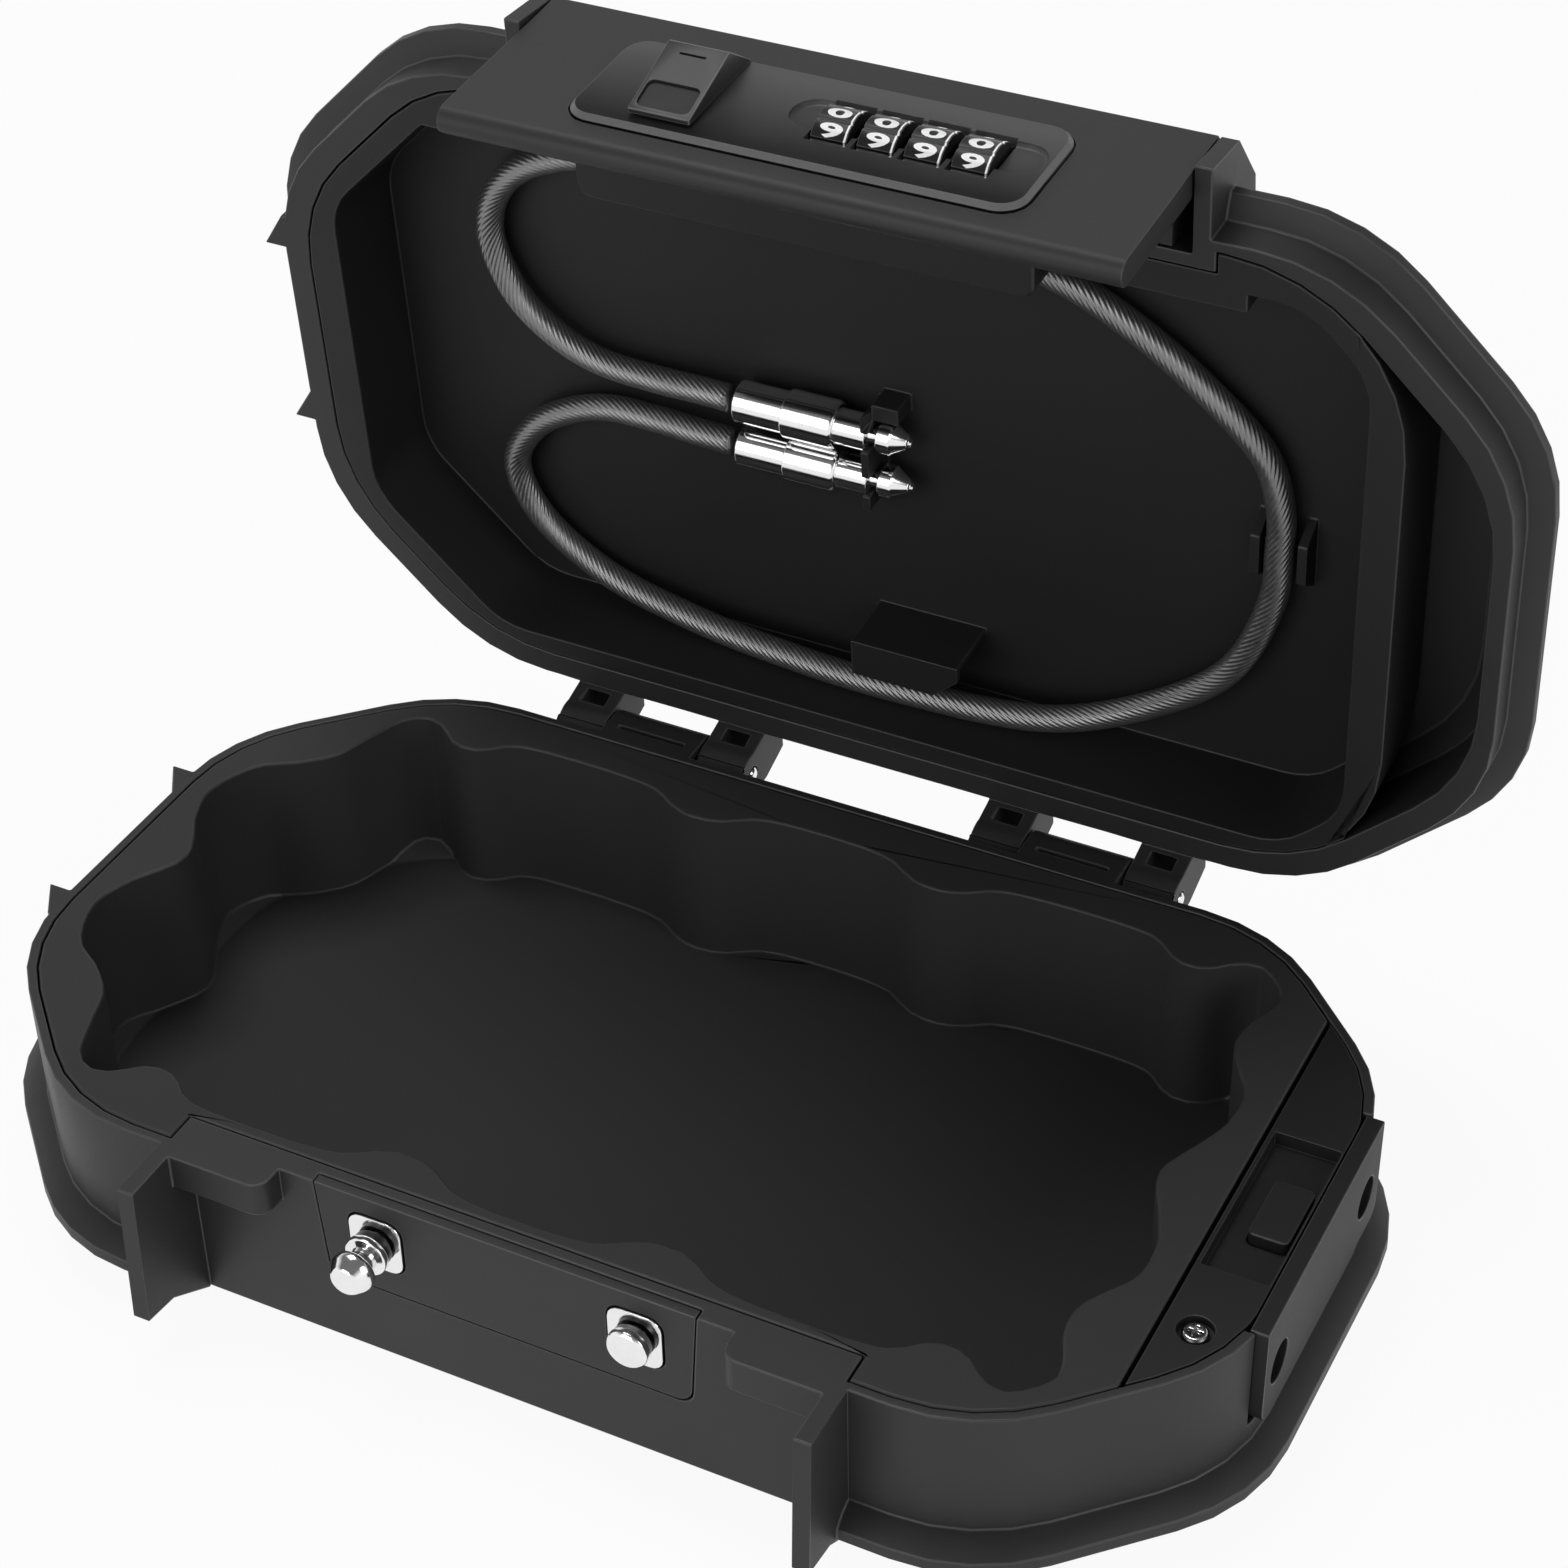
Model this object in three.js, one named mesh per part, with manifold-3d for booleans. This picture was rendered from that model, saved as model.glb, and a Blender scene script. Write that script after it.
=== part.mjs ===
// Portable lock box for valuables: an eight-sided tray with a lid on two rear hinges.
// Units are millimetres. +X runs along the box, -Y is its front and +Z is up.
// The origin is the centre of the underside. The lid's own pieces are drawn as if
// the box were shut, and one group then swings them all open about the hinge axis.

import * as THREE from 'three';
import { mergeVertices } from 'three/addons/utils/BufferGeometryUtils.js';
import Module from 'manifold-3d';

const wasm = await Module();
wasm.setup();

// Driving sizes of the whole case
const caseLength = 240;
const caseWidth = 135.4;
const cornerCut = 33;
const cornerRadius = 34;
const rimHeight = 38;
const openAngle = 85.6;
const seatGap = 0.3;
const overrun = 1;
const cornerSteps = 4;
const mergeTolerance = 0.0005;

// Base shell
const soleInset = 6;
const skirtFoot = 7.2;
const skirtReach = 4.5;
const skirtTop = 9.7;
const stepReach = 2.4;
const stepHeight = 11.5;
const wallFoot = 12.5;
const floorThickness = 2.6;
const rimWall = 1.7;
const footWall = 2.4;
const cavityFootInset = 9;
const cavityFootHeight = 9;

// Front bay between the two fences, where the lock flap hangs
const bayHalfLength = 62.2;
const bayDepth = 3.3;
const bayWall = 4.3;
const baySoleHeight = 2.2;
const bayWallCorner = 2.2;
const fenceThickness = 3.2;
const fenceReach = 12.9;
const fenceToeReach = 14.3;
const fenceToeHeight = 8.9;
const fenceHeelReach = 6.8;
const fenceHeelHeight = 7.9;
const fenceRootHeight = 1.4;
const ledgeLength = 18.7;
const ledgeReach = 2.4;
const ledgeDrop = 7;
const ledgeCorner = 3;

// Fins on the left end of base and lid
const finReach = 4.6;
const finHeight = 8;
const baseFinFrontStart = -25.2;
const baseFinRearStart = 15.1;
const baseFinLength = 7.2;
const lidFinFrontStart = -28;
const lidFinRearStart = 12;
const lidFinLength = 7;

// Liner insert of the base
const linerFloor = 2.2;
const linerWall = 1.2;
const scallopDepth = 5.4;
const openingInset = 10.7;
const openingStep = 3;

// Stud plate and studs in the bay wall
const strikeBeyondTop = 11.5;
const strikeBeyondFoot = 10;
const strikeHeight = 20.7;
const strikeCorner = 3;
const strikeThickness = 1.9;
const studDrop = 9.7;
const studShank = 2.5;
const studRoot = 0.9;
const collarRadius = 3.65;
const collarEnd = 2;
const flangeRadius = 4;
const flangeEnd = 3.6;
const neckRadius = 2.4;
const neckEnd = 6;
const bellRadius = 4.15;
const bellShoulder = 7.9;
const bellTipRadius = 2.9;
const bellEnd = 10;
const shortCollarEnd = 1.5;
const shortHeadRadius = 3.9;
const shortHeadEnd = 3.3;
const headEdge = 0.5;
const washerWidth = 10.3;
const washerHeight = 11.5;
const washerCorner = 2.6;
const washerProud = 0.3;
const washerThickness = 1.5;

// Cable lock at the right end of the base
const coverLength = 15.6;
const coverThickness = 3;
const recessHalf = 17.4;
const recessEdge = 0.8;
const recessLip = 0.4;
const recessDepth = 2.8;
const dishWall = 1.6;
const ribThickness = 1.2;
const plateInset = 6.7;
const plateHeight = 21.2;
const plateProud = 1.2;
const plateThickness = 3.3;
const plateCorner = 3;
const socketInset = 6.9;
const socketDrop = 12.2;
const socketMouth = 6.4;
const socketBore = 3.9;
const bodyBeyond = 1.5;
const bodyGap = 0.5;
const bodyMouth = 5.4;
const bodyMouthLead = 2;
const releaseLead = 0.9;
const releaseLength = 7.3;
const releaseHalf = 7;
const releaseSunk = 0.5;
const releaseCorner = 1.2;
const releaseTravel = 3;
const releaseFootHalf = 8.4;
const releaseFootThickness = 1.2;
const catchThickness = 1;
const catchInset = 1.5;
const catchBelow = 6.8;
const catchSlot = 2.1;
const catchEntry = 3.75;
const coverScrewInset = 10;
const coverScrewBeyond = 3.7;
const counterboreRadius = 3.2;
const counterboreDepth = 1.6;
const coverScrewHead = 2.35;
const coverScrewShank = 1.3;
const coverScrewLength = 9;
const crossLength = 2.6;
const crossWidth = 0.6;
const crossDepth = 0.6;
const springRadius = 2.4;
const springWire = 0.45;
const springTurns = 4;
const springBelow = 2.4;
const springSides = 5;
const springStepsPerTurn = 8;

// Hinges
const hingeBehind = 6.4;
const hingeBelow = 5.1;
const hingeOffset = 44.8;
const lugLength = 20.2;
const armLength = 10.3;
const hingeGap = 0.4;
const pinRadius = 1.5;
const pinOverhang = 0.4;
const barrelSides = 24;
const lugFoot = 13;
const lugSlotLength = 14.5;
const lugSlotWidth = 1;
const lugSlotDepth = 4;
const lugSlotBehind = 3.1;
const armHeight = 7.6;
const armRoot = 1.2;
const armPocketLength = 5;
const armPocketDepth = 3.4;
const pocketMargin = 1.2;
const heelReach = 3;
const heelLift = 0.6;

// Lid shell, with heights counted from the lid's own rim
const lidWallHeight = 6.6;
const lidStepReach = 2.3;
const lidStepHeight = 7.3;
const lidSkirtReach = 4.4;
const lidSkirtFoot = 8.2;
const lidSkirtTop = 10.2;
const lidShoulderReach = 3.3;
const lidShoulderHeight = 11.4;
const lidCrownInset = 8;
const lidCrownHeight = 20.6;
const lidTopInset = 14;
const lidHeight = 21.3;
const lidSideBand = 5;
const lidFrontBand = 2;
const lidEndBand = 3.4;
const lidHollowStraight = 15.5;
const lidHollowTopInset = 8.6;
const lidHollowHeight = 19.5;
const lidFrontWall = 2.5;
const cheekThickness = 3.1;
const bossBack = 9.7;
const cheekReach = 13.3;
const cheekShoulderReach = 12;
const cheekShoulderHeight = 11.9;
const cheekCrownReach = 0.8;
const cheekCrownHeight = 20.6;

// Tray moulding inside the lid
const trayEndInset = 19.5;
const trayFloor = 1.1;
const trayDraft = 1;
const trayLeftInset = 12;
const trayBackInset = 9.2;
const trayFrontInset = 8.9;
const trayRightInset = 26.2;
const trayDiagonalInset = 9.8;
const trayInnerRadius = 14;
const trayStepFront = 12.3;
const trayStepBeyond = 6.7;
const prongMiddle = 74.85;
const prongSpace = 7.1;
const prongThickness = 1.8;
const prongHeight = 5;
const prongStart = -2.8;
const prongEnd = 12;
const prongRampStart = 3;
const prongRampEnd = 3.5;
const clipStart = -6.4;
const clipEnd = 15.8;
const clipInset = 16.3;
const clipWall = 1.4;
const clipHeight = 13.4;
const clipReach = 8.1;
const clipCornerAlong = 5.3;
const clipCornerAcross = 4.8;
const holderWall = 1.5;
const holderStart = -6.6;
const holderEnd = 14;
const holderHeight = 8.6;
const stopBlockLength = 5;
const stopBlockWidth = 3.4;
const stopBlockHeight = 9.5;

// Lock housing on the lid's front, with its flap hanging below the rim.
// All heights of the lock are counted from the rim of the shut box.
const housingGap = 0.4;
const lockReach = 12.1;
const lockPlate = 5.2;
const lockFoot = -29;
const lockShoulder = 12;
const lockCrownReach = 0.8;
const lockCrownTop = 20.9;
const lockTop = 21.3;
const lockSkin = 2.2;
const noseSteps = 6;
const endWallInset = 3.3;
const endWallThickness = 2.2;
const endWallFoot = 0.6;
const boxHalf = 43.2;
const boxWall = 1.6;
const boxFoot = -26;
const boxRearFoot = -16;
const boxWallTop = 14;
const coverRear = 1.3;
const backCoverThickness = 1.6;
const backCoverFoot = -13.5;
const backCoverTop = 12.5;
const studInset = 18.2;
const studSlotHalf = 4.75;
const studSlotTop = -4.8;
const bossRadius = 2.5;
const bossInset = 4.7;
const bossMiddle = -12;
const bossLow = -10.8;
const bossHigh = 9.5;
const screwHeadRadius = 1.9;
const screwHeadHeight = 0.8;
const screwShankRadius = 0.9;
const screwLength = 4;
const screwSides = 12;

// Lock panel, dials and slide button
const panelHalf = 41.5;
const panelFoot = -22.5;
const panelTop = 4;
const panelCorner = 5;
const panelProud = 1.2;
const panelThickness = 1.9;
const dialFirst = 4;
const dialPitch = 8.4;
const dialCount = 4;
const dialRadius = 6.6;
const dialWidth = 6.6;
const dialHeight = -9;
const dialProud = 2.2;
const dialDigits = 10;
const dialGroove = 0.45;
const spindleRadius = 1.6;
const spindleSides = 16;
const spindleStart = -8.7;
const spindleEnd = 38.7;
const windowLength = 7.4;
const windowHalf = 7.1;
const panelWindowHalf = 6.45;
const grooveStart = -5.5;
const grooveEnd = 40;
const grooveRise = 1.2;
const grooveRadius = 4.6;
const grooveCorner = 4.45;
const grooveSteps = 6;
const grooveDepth = 0.9;
const buttonStart = -30;
const buttonEnd = -18.5;
const buttonFoot = -19.5;
const buttonTop = -3;
const buttonFootProud = 1.3;
const buttonTopProud = 5.8;
const buttonCrown = 1.2;
const buttonCorner = 0.7;
const padInset = 1.5;
const padFoot = 1.2;
const padLength = 7.5;
const padDepth = 0.5;
const slideTravel = 4;
const stemMargin = 3;
const stemFoot = -14.5;
const stemTop = -8;
const carrierMargin = 1;
const carrierFoot = -16.8;
const carrierTop = 3;
const carrierThickness = 1.6;
const carrierPocket = 2.4;
const pinZ = -0.4;
const followerRadius = 1.2;
const latchThickness = 1.6;
const latchMargin = 3.75;
const latchFoot = -4.8;
const latchTop = 6.6;
const latchArm = 6.2;
const latchClearance = 1.65;
const jawFoot = -14;
const jawReach = 1;
const jawRamp = 4.5;
const jawTipHeight = 0.5;
const detentStart = -2;
const detentEnd = 35;
const detentFoot = 0;
const detentTop = 5;
const detentThickness = 0.6;
const fingerWidth = 4;
const fingerFoot = -2.2;

// Cover box behind the lock, inside the tray
const innerCoverStart = -54;
const innerCoverEnd = 34;
const innerCoverReach = 7.1;
const innerCoverDepth = 10.8;
const innerCoverWall = 1.6;
const innerCoverCorner = 2.5;

// Tether cable and its plugs
const cableRadius = 2.7;
const cableSides = 8;
const cableSteps = 76;
const plugLowY = -1.3;
const plugHighY = 8.7;
const plugClearance = 0.4;
const plugStart = -33;
const crimpRadius = 4.1;
const crimpLength = 11;
const plugBodyRadius = 4.7;
const plugBodyLength = 10.5;
const plugShaftRadius = 3.5;
const plugShaftLength = 6.3;
const plugNeckRadius = 1.75;
const plugNeckLength = 2.1;
const plugCapRadius = 3.25;
const plugCapLength = 4;
const plugNoseLength = 3.2;
const plugNoseRadius = 0.9;
const plugEdge = 0.6;
const plugSides = 16;

// Places worked out from the sizes above
const endX = caseLength / 2;
const backY = caseWidth / 2;
const frontY = -backY;
const bayY = frontY + bayDepth;
const lidRim = rimHeight + seatGap;
const hingeY = backY + hingeBehind;
const hingeZ = rimHeight - hingeBelow;
const housingHalf = bayHalfLength - housingGap;
const bossHalfLength = bayHalfLength + cheekThickness;
const studOffset = boxHalf - studInset;
const studHeight = rimHeight - studDrop;
const strikeFoot = rimHeight - strikeHeight;

const coverStart = endX - coverLength;
const linerEnd = coverStart - ribThickness / 2 - seatGap;
const plateFace = endX + plateProud;
const plateRear = plateFace - plateThickness;
const plateHalf = backY - cornerCut - plateInset;
const plateFoot = rimHeight - plateHeight;
const socketOffset = plateHalf - socketInset;
const socketHeight = rimHeight - socketDrop;
const dishFloor = rimHeight - coverThickness - dishWall;
const dishEnd = plateRear - seatGap;
const catchX = plateFace - plugShaftLength - plugNeckLength / 2;
const catchHalf = plateHalf - catchInset;
const catchFoot = socketHeight - catchBelow;
const releaseX = catchX - releaseLead;
const releaseZ = socketHeight + releaseTravel;
const releaseFoot = dishFloor - seatGap - releaseFootThickness;
const lockBodyTop = releaseFoot - bodyGap;
const springFoot = (catchFoot + floorThickness + springBelow) / 2;
const coverScrewX = endX - coverScrewInset;
const coverScrewY = -plateHalf - coverScrewBeyond;

const lockY = frontY - lockReach;
const lockInnerY = lockY + lockPlate;
const panelY = lockY - panelProud;
const coverBackY = frontY + coverRear;
const coverFrontY = coverBackY - backCoverThickness;
const dialY = panelY - dialProud + dialRadius;
const pinX = (buttonStart + buttonEnd) / 2;
const latchStart = -studOffset - bellRadius - latchClearance - latchArm;
const bossOffset = boxHalf - bossInset;
const backScrewPlaces = [
  [-bossOffset, bossHigh], [bossMiddle, bossHigh], [bossOffset, bossHigh], [bossMiddle, bossLow],
];

const shellTop = lidRim + lidHollowHeight;
const trayTop = shellTop - seatGap;
const trayFloorZ = trayTop - trayFloor;
const plugZ = trayFloorZ - plugBodyRadius - plugClearance;

// Finishes
const finish = (color, roughness, metalness = 0) =>
  new THREE.MeshStandardMaterial({ color, roughness, metalness });
const wallBlack = finish(0x3e3e3e, 0.55);
const linerBlack = finish(0x2e2e2e, 0.7);
const trayBlack = finish(0x222222, 0.6);
const coverBlack = finish(0x1a1a1a, 0.5);
const dialBlack = finish(0x101010, 0.35);
const brightSteel = finish(0xd8d8d8, 0.15, 1);
const dullSteel = finish(0x9a9a9a, 0.35, 1);
const cableGrey = finish(0x6a6a6a, 0.3, 0.3);

// Turn a closed geometry into a solid that can be cut and joined
function solidOf(geometry) {
  const plain = geometry.index ? geometry.toNonIndexed() : geometry.clone();
  plain.deleteAttribute('normal');
  plain.deleteAttribute('uv');
  const merged = mergeVertices(plain, mergeTolerance);
  return new wasm.Manifold(new wasm.Mesh({
    numProp: 3,
    vertProperties: new Float32Array(merged.attributes.position.array),
    triVerts: new Uint32Array(merged.index.array),
  }));
}

function join(...solids) {
  return solids.reduce((whole, piece) => whole.add(piece));
}

function cut(solid, ...tools) {
  return tools.reduce((rest, tool) => rest.subtract(tool), solid);
}

function meshOf(name, solid, material) {
  const result = solid.getMesh();
  const geometry = new THREE.BufferGeometry();
  geometry.setAttribute('position', new THREE.BufferAttribute(result.vertProperties, 3));
  geometry.setIndex(new THREE.BufferAttribute(result.triVerts, 1));
  geometry.computeVertexNormals();
  const mesh = new THREE.Mesh(geometry, material);
  mesh.name = name;
  return mesh;
}

// Straight prisms: an outline of [a, b] pairs pushed along one of the three axes
const basisX = new THREE.Matrix4().makeBasis(
  new THREE.Vector3(0, 1, 0), new THREE.Vector3(0, 0, 1), new THREE.Vector3(1, 0, 0));
const basisY = new THREE.Matrix4().makeBasis(
  new THREE.Vector3(1, 0, 0), new THREE.Vector3(0, 0, 1), new THREE.Vector3(0, -1, 0));

function prism(outline, depth) {
  const shape = new THREE.Shape(outline.map(([a, b]) => new THREE.Vector2(a, b)));
  return new THREE.ExtrudeGeometry(shape, { depth, bevelEnabled: false });
}

function alongZ(outline, low, high) {
  return solidOf(prism(outline, high - low).translate(0, 0, low));
}

function alongX(outline, low, high) {
  return solidOf(prism(outline, high - low).applyMatrix4(basisX).translate(low, 0, 0));
}

function alongY(outline, low, high) {
  return solidOf(prism(outline, high - low).applyMatrix4(basisY).translate(0, high, 0));
}

function block(x0, x1, y0, y1, z0, z1) {
  const box = new THREE.BoxGeometry(x1 - x0, y1 - y0, z1 - z0);
  return solidOf(box.translate((x0 + x1) / 2, (y0 + y1) / 2, (z0 + z1) / 2));
}

// Round bars along an axis, between two places on it
function bar(axis, radius, low, high, a, b, sides = barrelSides) {
  const rod = new THREE.CylinderGeometry(radius, radius, high - low, sides);
  const middle = (low + high) / 2;
  if (axis === 'x') return solidOf(rod.rotateZ(Math.PI / 2).translate(middle, a, b));
  if (axis === 'y') return solidOf(rod.translate(a, middle, b));
  return solidOf(rod.rotateX(Math.PI / 2).translate(a, b, middle));
}

// Turned pieces from [radius, distance] pairs, pointing along an axis vector
function turned(profile, direction, x, y, z, sides = barrelSides) {
  const points = profile.map(([radius, distance]) => new THREE.Vector2(radius, distance));
  const lathe = new THREE.LatheGeometry(points, sides);
  const turn = new THREE.Quaternion().setFromUnitVectors(new THREE.Vector3(0, 1, 0), direction);
  return solidOf(lathe.applyQuaternion(turn).translate(x, y, z));
}

const towardFront = new THREE.Vector3(0, -1, 0);
const towardRight = new THREE.Vector3(1, 0, 0);
const upward = new THREE.Vector3(0, 0, 1);

// Round the corners of a closed outline
function rounded(outline, radius, steps = cornerSteps) {
  const points = outline.map(([a, b]) => new THREE.Vector2(a, b));
  const result = [];
  points.forEach((corner, i) => {
    const before = points[(i + points.length - 1) % points.length];
    const after = points[(i + 1) % points.length];
    const inward = before.clone().sub(corner).normalize();
    const outward = after.clone().sub(corner).normalize();
    const half = Math.acos(THREE.MathUtils.clamp(inward.dot(outward), -1, 1)) / 2;
    const size = Array.isArray(radius) ? radius[i] : radius;
    const reach = size / Math.tan(half);
    const start = corner.clone().addScaledVector(inward, reach);
    const end = corner.clone().addScaledVector(outward, reach);
    if (size === 0) {
      result.push([corner.x, corner.y]);
      return;
    }
    const centre = corner.clone().addScaledVector(
      inward.clone().add(outward).normalize(), size / Math.sin(half));
    const first = Math.atan2(start.y - centre.y, start.x - centre.x);
    let sweep = Math.atan2(end.y - centre.y, end.x - centre.x) - first;
    if (sweep > Math.PI) sweep -= 2 * Math.PI;
    if (sweep < -Math.PI) sweep += 2 * Math.PI;
    for (let step = 0; step <= steps; step += 1) {
      const angle = first + sweep * step / steps;
      result.push([centre.x + size * Math.cos(angle), centre.y + size * Math.sin(angle)]);
    }
  });
  return result;
}

function rectangle(a0, a1, b0, b1, radius = 0, steps = cornerSteps) {
  const corners = [[a0, b0], [a1, b0], [a1, b1], [a0, b1]];
  return radius ? rounded(corners, radius, steps) : corners;
}

// The case's eight-sided plan, each side moved out by its own offset
function octagon(offsets, radius = cornerRadius) {
  const { all = 0, right = all, left = all, front = all, back = all, diagonal = all } = offsets;
  const diagonalReach = (endX + backY - cornerCut) / Math.SQRT2;
  const reaches = [
    endX + right, diagonalReach + diagonal, backY + back, diagonalReach + diagonal,
    endX + left, diagonalReach + diagonal, backY + front, diagonalReach + diagonal,
  ];
  const turn = Math.PI / 4;
  const corners = reaches.map((reach, i) => {
    const next = reaches[(i + 1) % reaches.length];
    const along = (next - reach * Math.cos(turn)) / Math.sin(turn);
    const angle = i * turn;
    return [
      reach * Math.cos(angle) - along * Math.sin(angle),
      reach * Math.sin(angle) + along * Math.cos(angle),
    ];
  });
  return rounded(corners, radius);
}

// A solid drawn through a stack of outlines that share their point count
function stack(levels) {
  const count = levels[0].outline.length;
  const positions = levels.flatMap(({ outline, z }) => outline.flatMap(([x, y]) => [x, y, z]));
  const index = [];
  for (let level = 0; level < levels.length - 1; level += 1) {
    for (let i = 0; i < count; i += 1) {
      const a = level * count + i;
      const b = level * count + (i + 1) % count;
      index.push(a, b, b + count, a, b + count, a + count);
    }
  }
  const top = (levels.length - 1) * count;
  for (let i = 1; i < count - 1; i += 1) {
    index.push(0, i + 1, i);
    index.push(top, top + i, top + i + 1);
  }
  const geometry = new THREE.BufferGeometry();
  geometry.setAttribute('position', new THREE.Float32BufferAttribute(positions, 3));
  geometry.setIndex(index);
  return solidOf(geometry);
}

function mirrored(build) {
  return [-1, 1].map(build);
}

// Base shell: skirted outside, drafted hollow, bay wall, fences, ledges, fins and hinge lugs
function fenceProfile() {
  return [
    [frontY - fenceReach, rimHeight],
    [frontY - fenceToeReach, fenceToeHeight],
    [frontY - fenceHeelReach, fenceHeelHeight],
    [bayY, fenceRootHeight],
    [bayY, baySoleHeight],
    [frontY + rimWall / 2, skirtFoot],
    [frontY + rimWall / 2, rimHeight],
  ];
}

function fin(start, length, low) {
  const root = -endX + rimWall;
  const outline = [[root, start], [root, start + length], [-endX, start + length],
    [-endX - finReach, start + length], [-endX, start]];
  return alongZ(outline, low, low + finHeight);
}

function hingeLug(side) {
  const x = side * hingeOffset;
  const low = x - lugLength / 2;
  const high = x + lugLength / 2;
  const root = backY - rimWall;
  const web = alongX([
    [root, hingeZ - lugFoot],
    [backY, hingeZ - lugFoot],
    [hingeY + hingeBelow * Math.SQRT1_2, hingeZ - hingeBelow * Math.SQRT1_2],
    [hingeY + hingeBelow * Math.SQRT1_2, hingeZ],
    [hingeY, rimHeight],
    [root, rimHeight],
  ], low, high);
  const slotY = backY + lugSlotBehind;
  return cut(
    join(web, bar('x', hingeBelow, low, high, hingeY, hingeZ)),
    bar('x', pinRadius + seatGap, low - overrun, high + overrun, hingeY, hingeZ),
    block(x - lugSlotLength / 2, x + lugSlotLength / 2, slotY - lugSlotWidth / 2,
      slotY + lugSlotWidth / 2, rimHeight - lugSlotDepth + pinRadius, rimHeight + overrun),
  );
}

function strikeOutline(clearance) {
  return rounded([
    [-studOffset - strikeBeyondFoot - clearance, strikeFoot - clearance],
    [studOffset + strikeBeyondFoot + clearance, strikeFoot - clearance],
    [studOffset + strikeBeyondTop + clearance, rimHeight],
    [-studOffset - strikeBeyondTop - clearance, rimHeight],
  ], [strikeCorner, strikeCorner, 0, 0]);
}

function baseHollow(clearance, top) {
  const bayZone = bayHalfLength + bayWallCorner + clearance;
  return cut(stack([
    { outline: octagon({ all: -cavityFootInset - clearance }), z: floorThickness + clearance },
    { outline: octagon({ all: -footWall - clearance }), z: cavityFootHeight },
    { outline: octagon({ all: -rimWall - clearance }), z: top },
  ]), block(-bayZone, bayZone, frontY, bayY + bayWall + clearance, 0, top + overrun));
}

function baseShell() {
  const outside = stack([
    { outline: octagon({ all: -soleInset }), z: 0 },
    { outline: octagon({ all: skirtReach }), z: skirtFoot },
    { outline: octagon({ all: skirtReach }), z: skirtTop },
    { outline: octagon({ all: stepReach }), z: stepHeight },
    { outline: octagon({}), z: wallFoot },
    { outline: octagon({}), z: rimHeight },
  ]);
  const bayCut = block(-bayHalfLength, bayHalfLength, frontY - skirtReach - overrun, bayY,
    -overrun, rimHeight + overrun);
  const hollow = baseHollow(0, rimHeight + overrun);
  const rib = cut(
    block(coverStart - ribThickness / 2, coverStart + ribThickness / 2, frontY, backY,
      floorThickness - seatGap, rimHeight - coverThickness - seatGap),
    block(coverStart - overrun, coverStart + overrun, -plateHalf, plateHalf,
      dishFloor - seatGap, rimHeight),
  );
  const ribInside = rib.intersect(outside);
  const fences = mirrored((side) => alongX(fenceProfile(),
    Math.min(side * bayHalfLength, side * (bayHalfLength + fenceThickness)),
    Math.max(side * bayHalfLength, side * (bayHalfLength + fenceThickness))));
  const ledges = mirrored((side) => {
    const inner = side * (bayHalfLength - ledgeLength);
    const outer = side * (bayHalfLength + fenceThickness / 2);
    const outline = [[inner, frontY - ledgeReach], [outer, frontY - ledgeReach],
      [outer, bayY + bayWall / 2], [inner, bayY + bayWall / 2]];
    const ordered = side > 0 ? outline : outline.slice().reverse();
    const radii = side > 0 ? [ledgeCorner, 0, 0, 0] : [0, 0, 0, ledgeCorner];
    return alongZ(rounded(ordered, radii), rimHeight - ledgeDrop, rimHeight);
  });
  const fins = [baseFinFrontStart, baseFinRearStart]
    .map((start) => fin(start, baseFinLength, rimHeight - finHeight));
  const lugs = mirrored(hingeLug);
  const plateSeat = alongX(rectangle(-plateHalf - seatGap, plateHalf + seatGap,
    plateFoot - seatGap, rimHeight + overrun), endX - rimWall - footWall,
  endX + skirtReach + overrun);
  const strikeSeat = alongY(strikeOutline(seatGap).map(([x, z]) =>
    [x, z === rimHeight ? z + overrun : z]), bayY - overrun, bayY + strikeThickness + seatGap);
  const studHoles = mirrored((side) => bar('y', studShank + seatGap, bayY - overrun,
    bayY + bayWall - studRoot, side * studOffset, studHeight));
  return cut(
    join(cut(outside, bayCut, hollow), ribInside, ...fences, ...ledges, ...fins, ...lugs),
    plateSeat, strikeSeat, ...studHoles,
  );
}

// Liner insert with the scalloped opening
const scallopCentreShares = [-0.633, -0.208, 0.208, 0.633];
const scallopHalfShares = [0.096, 0.133, 0.133, 0.096];
const scallopShares = [[-1, 0], [-0.66, 0.2], [-0.31, 0.82], [0, 1], [0.31, 0.82], [0.66, 0.2], [1, 0]];
const leftEndShares = [
  [-0.76, 0.81], [-0.79, 0.68], [-0.81, 0.58], [-0.858, 0.495], [-0.912, 0.43], [-0.945, 0.28],
  [-0.93, 0.17], [-0.883, 0],
];
const rightEndShares = [
  [0.76, 0.805], [0.783, 0.745], [0.775, 0.68], [0.758, 0.605], [0.757, 0.517], [0.78, 0.44],
  [0.808, 0.36], [0.81, 0.25], [0.792, 0.155], [0.758, 0],
];

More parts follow.
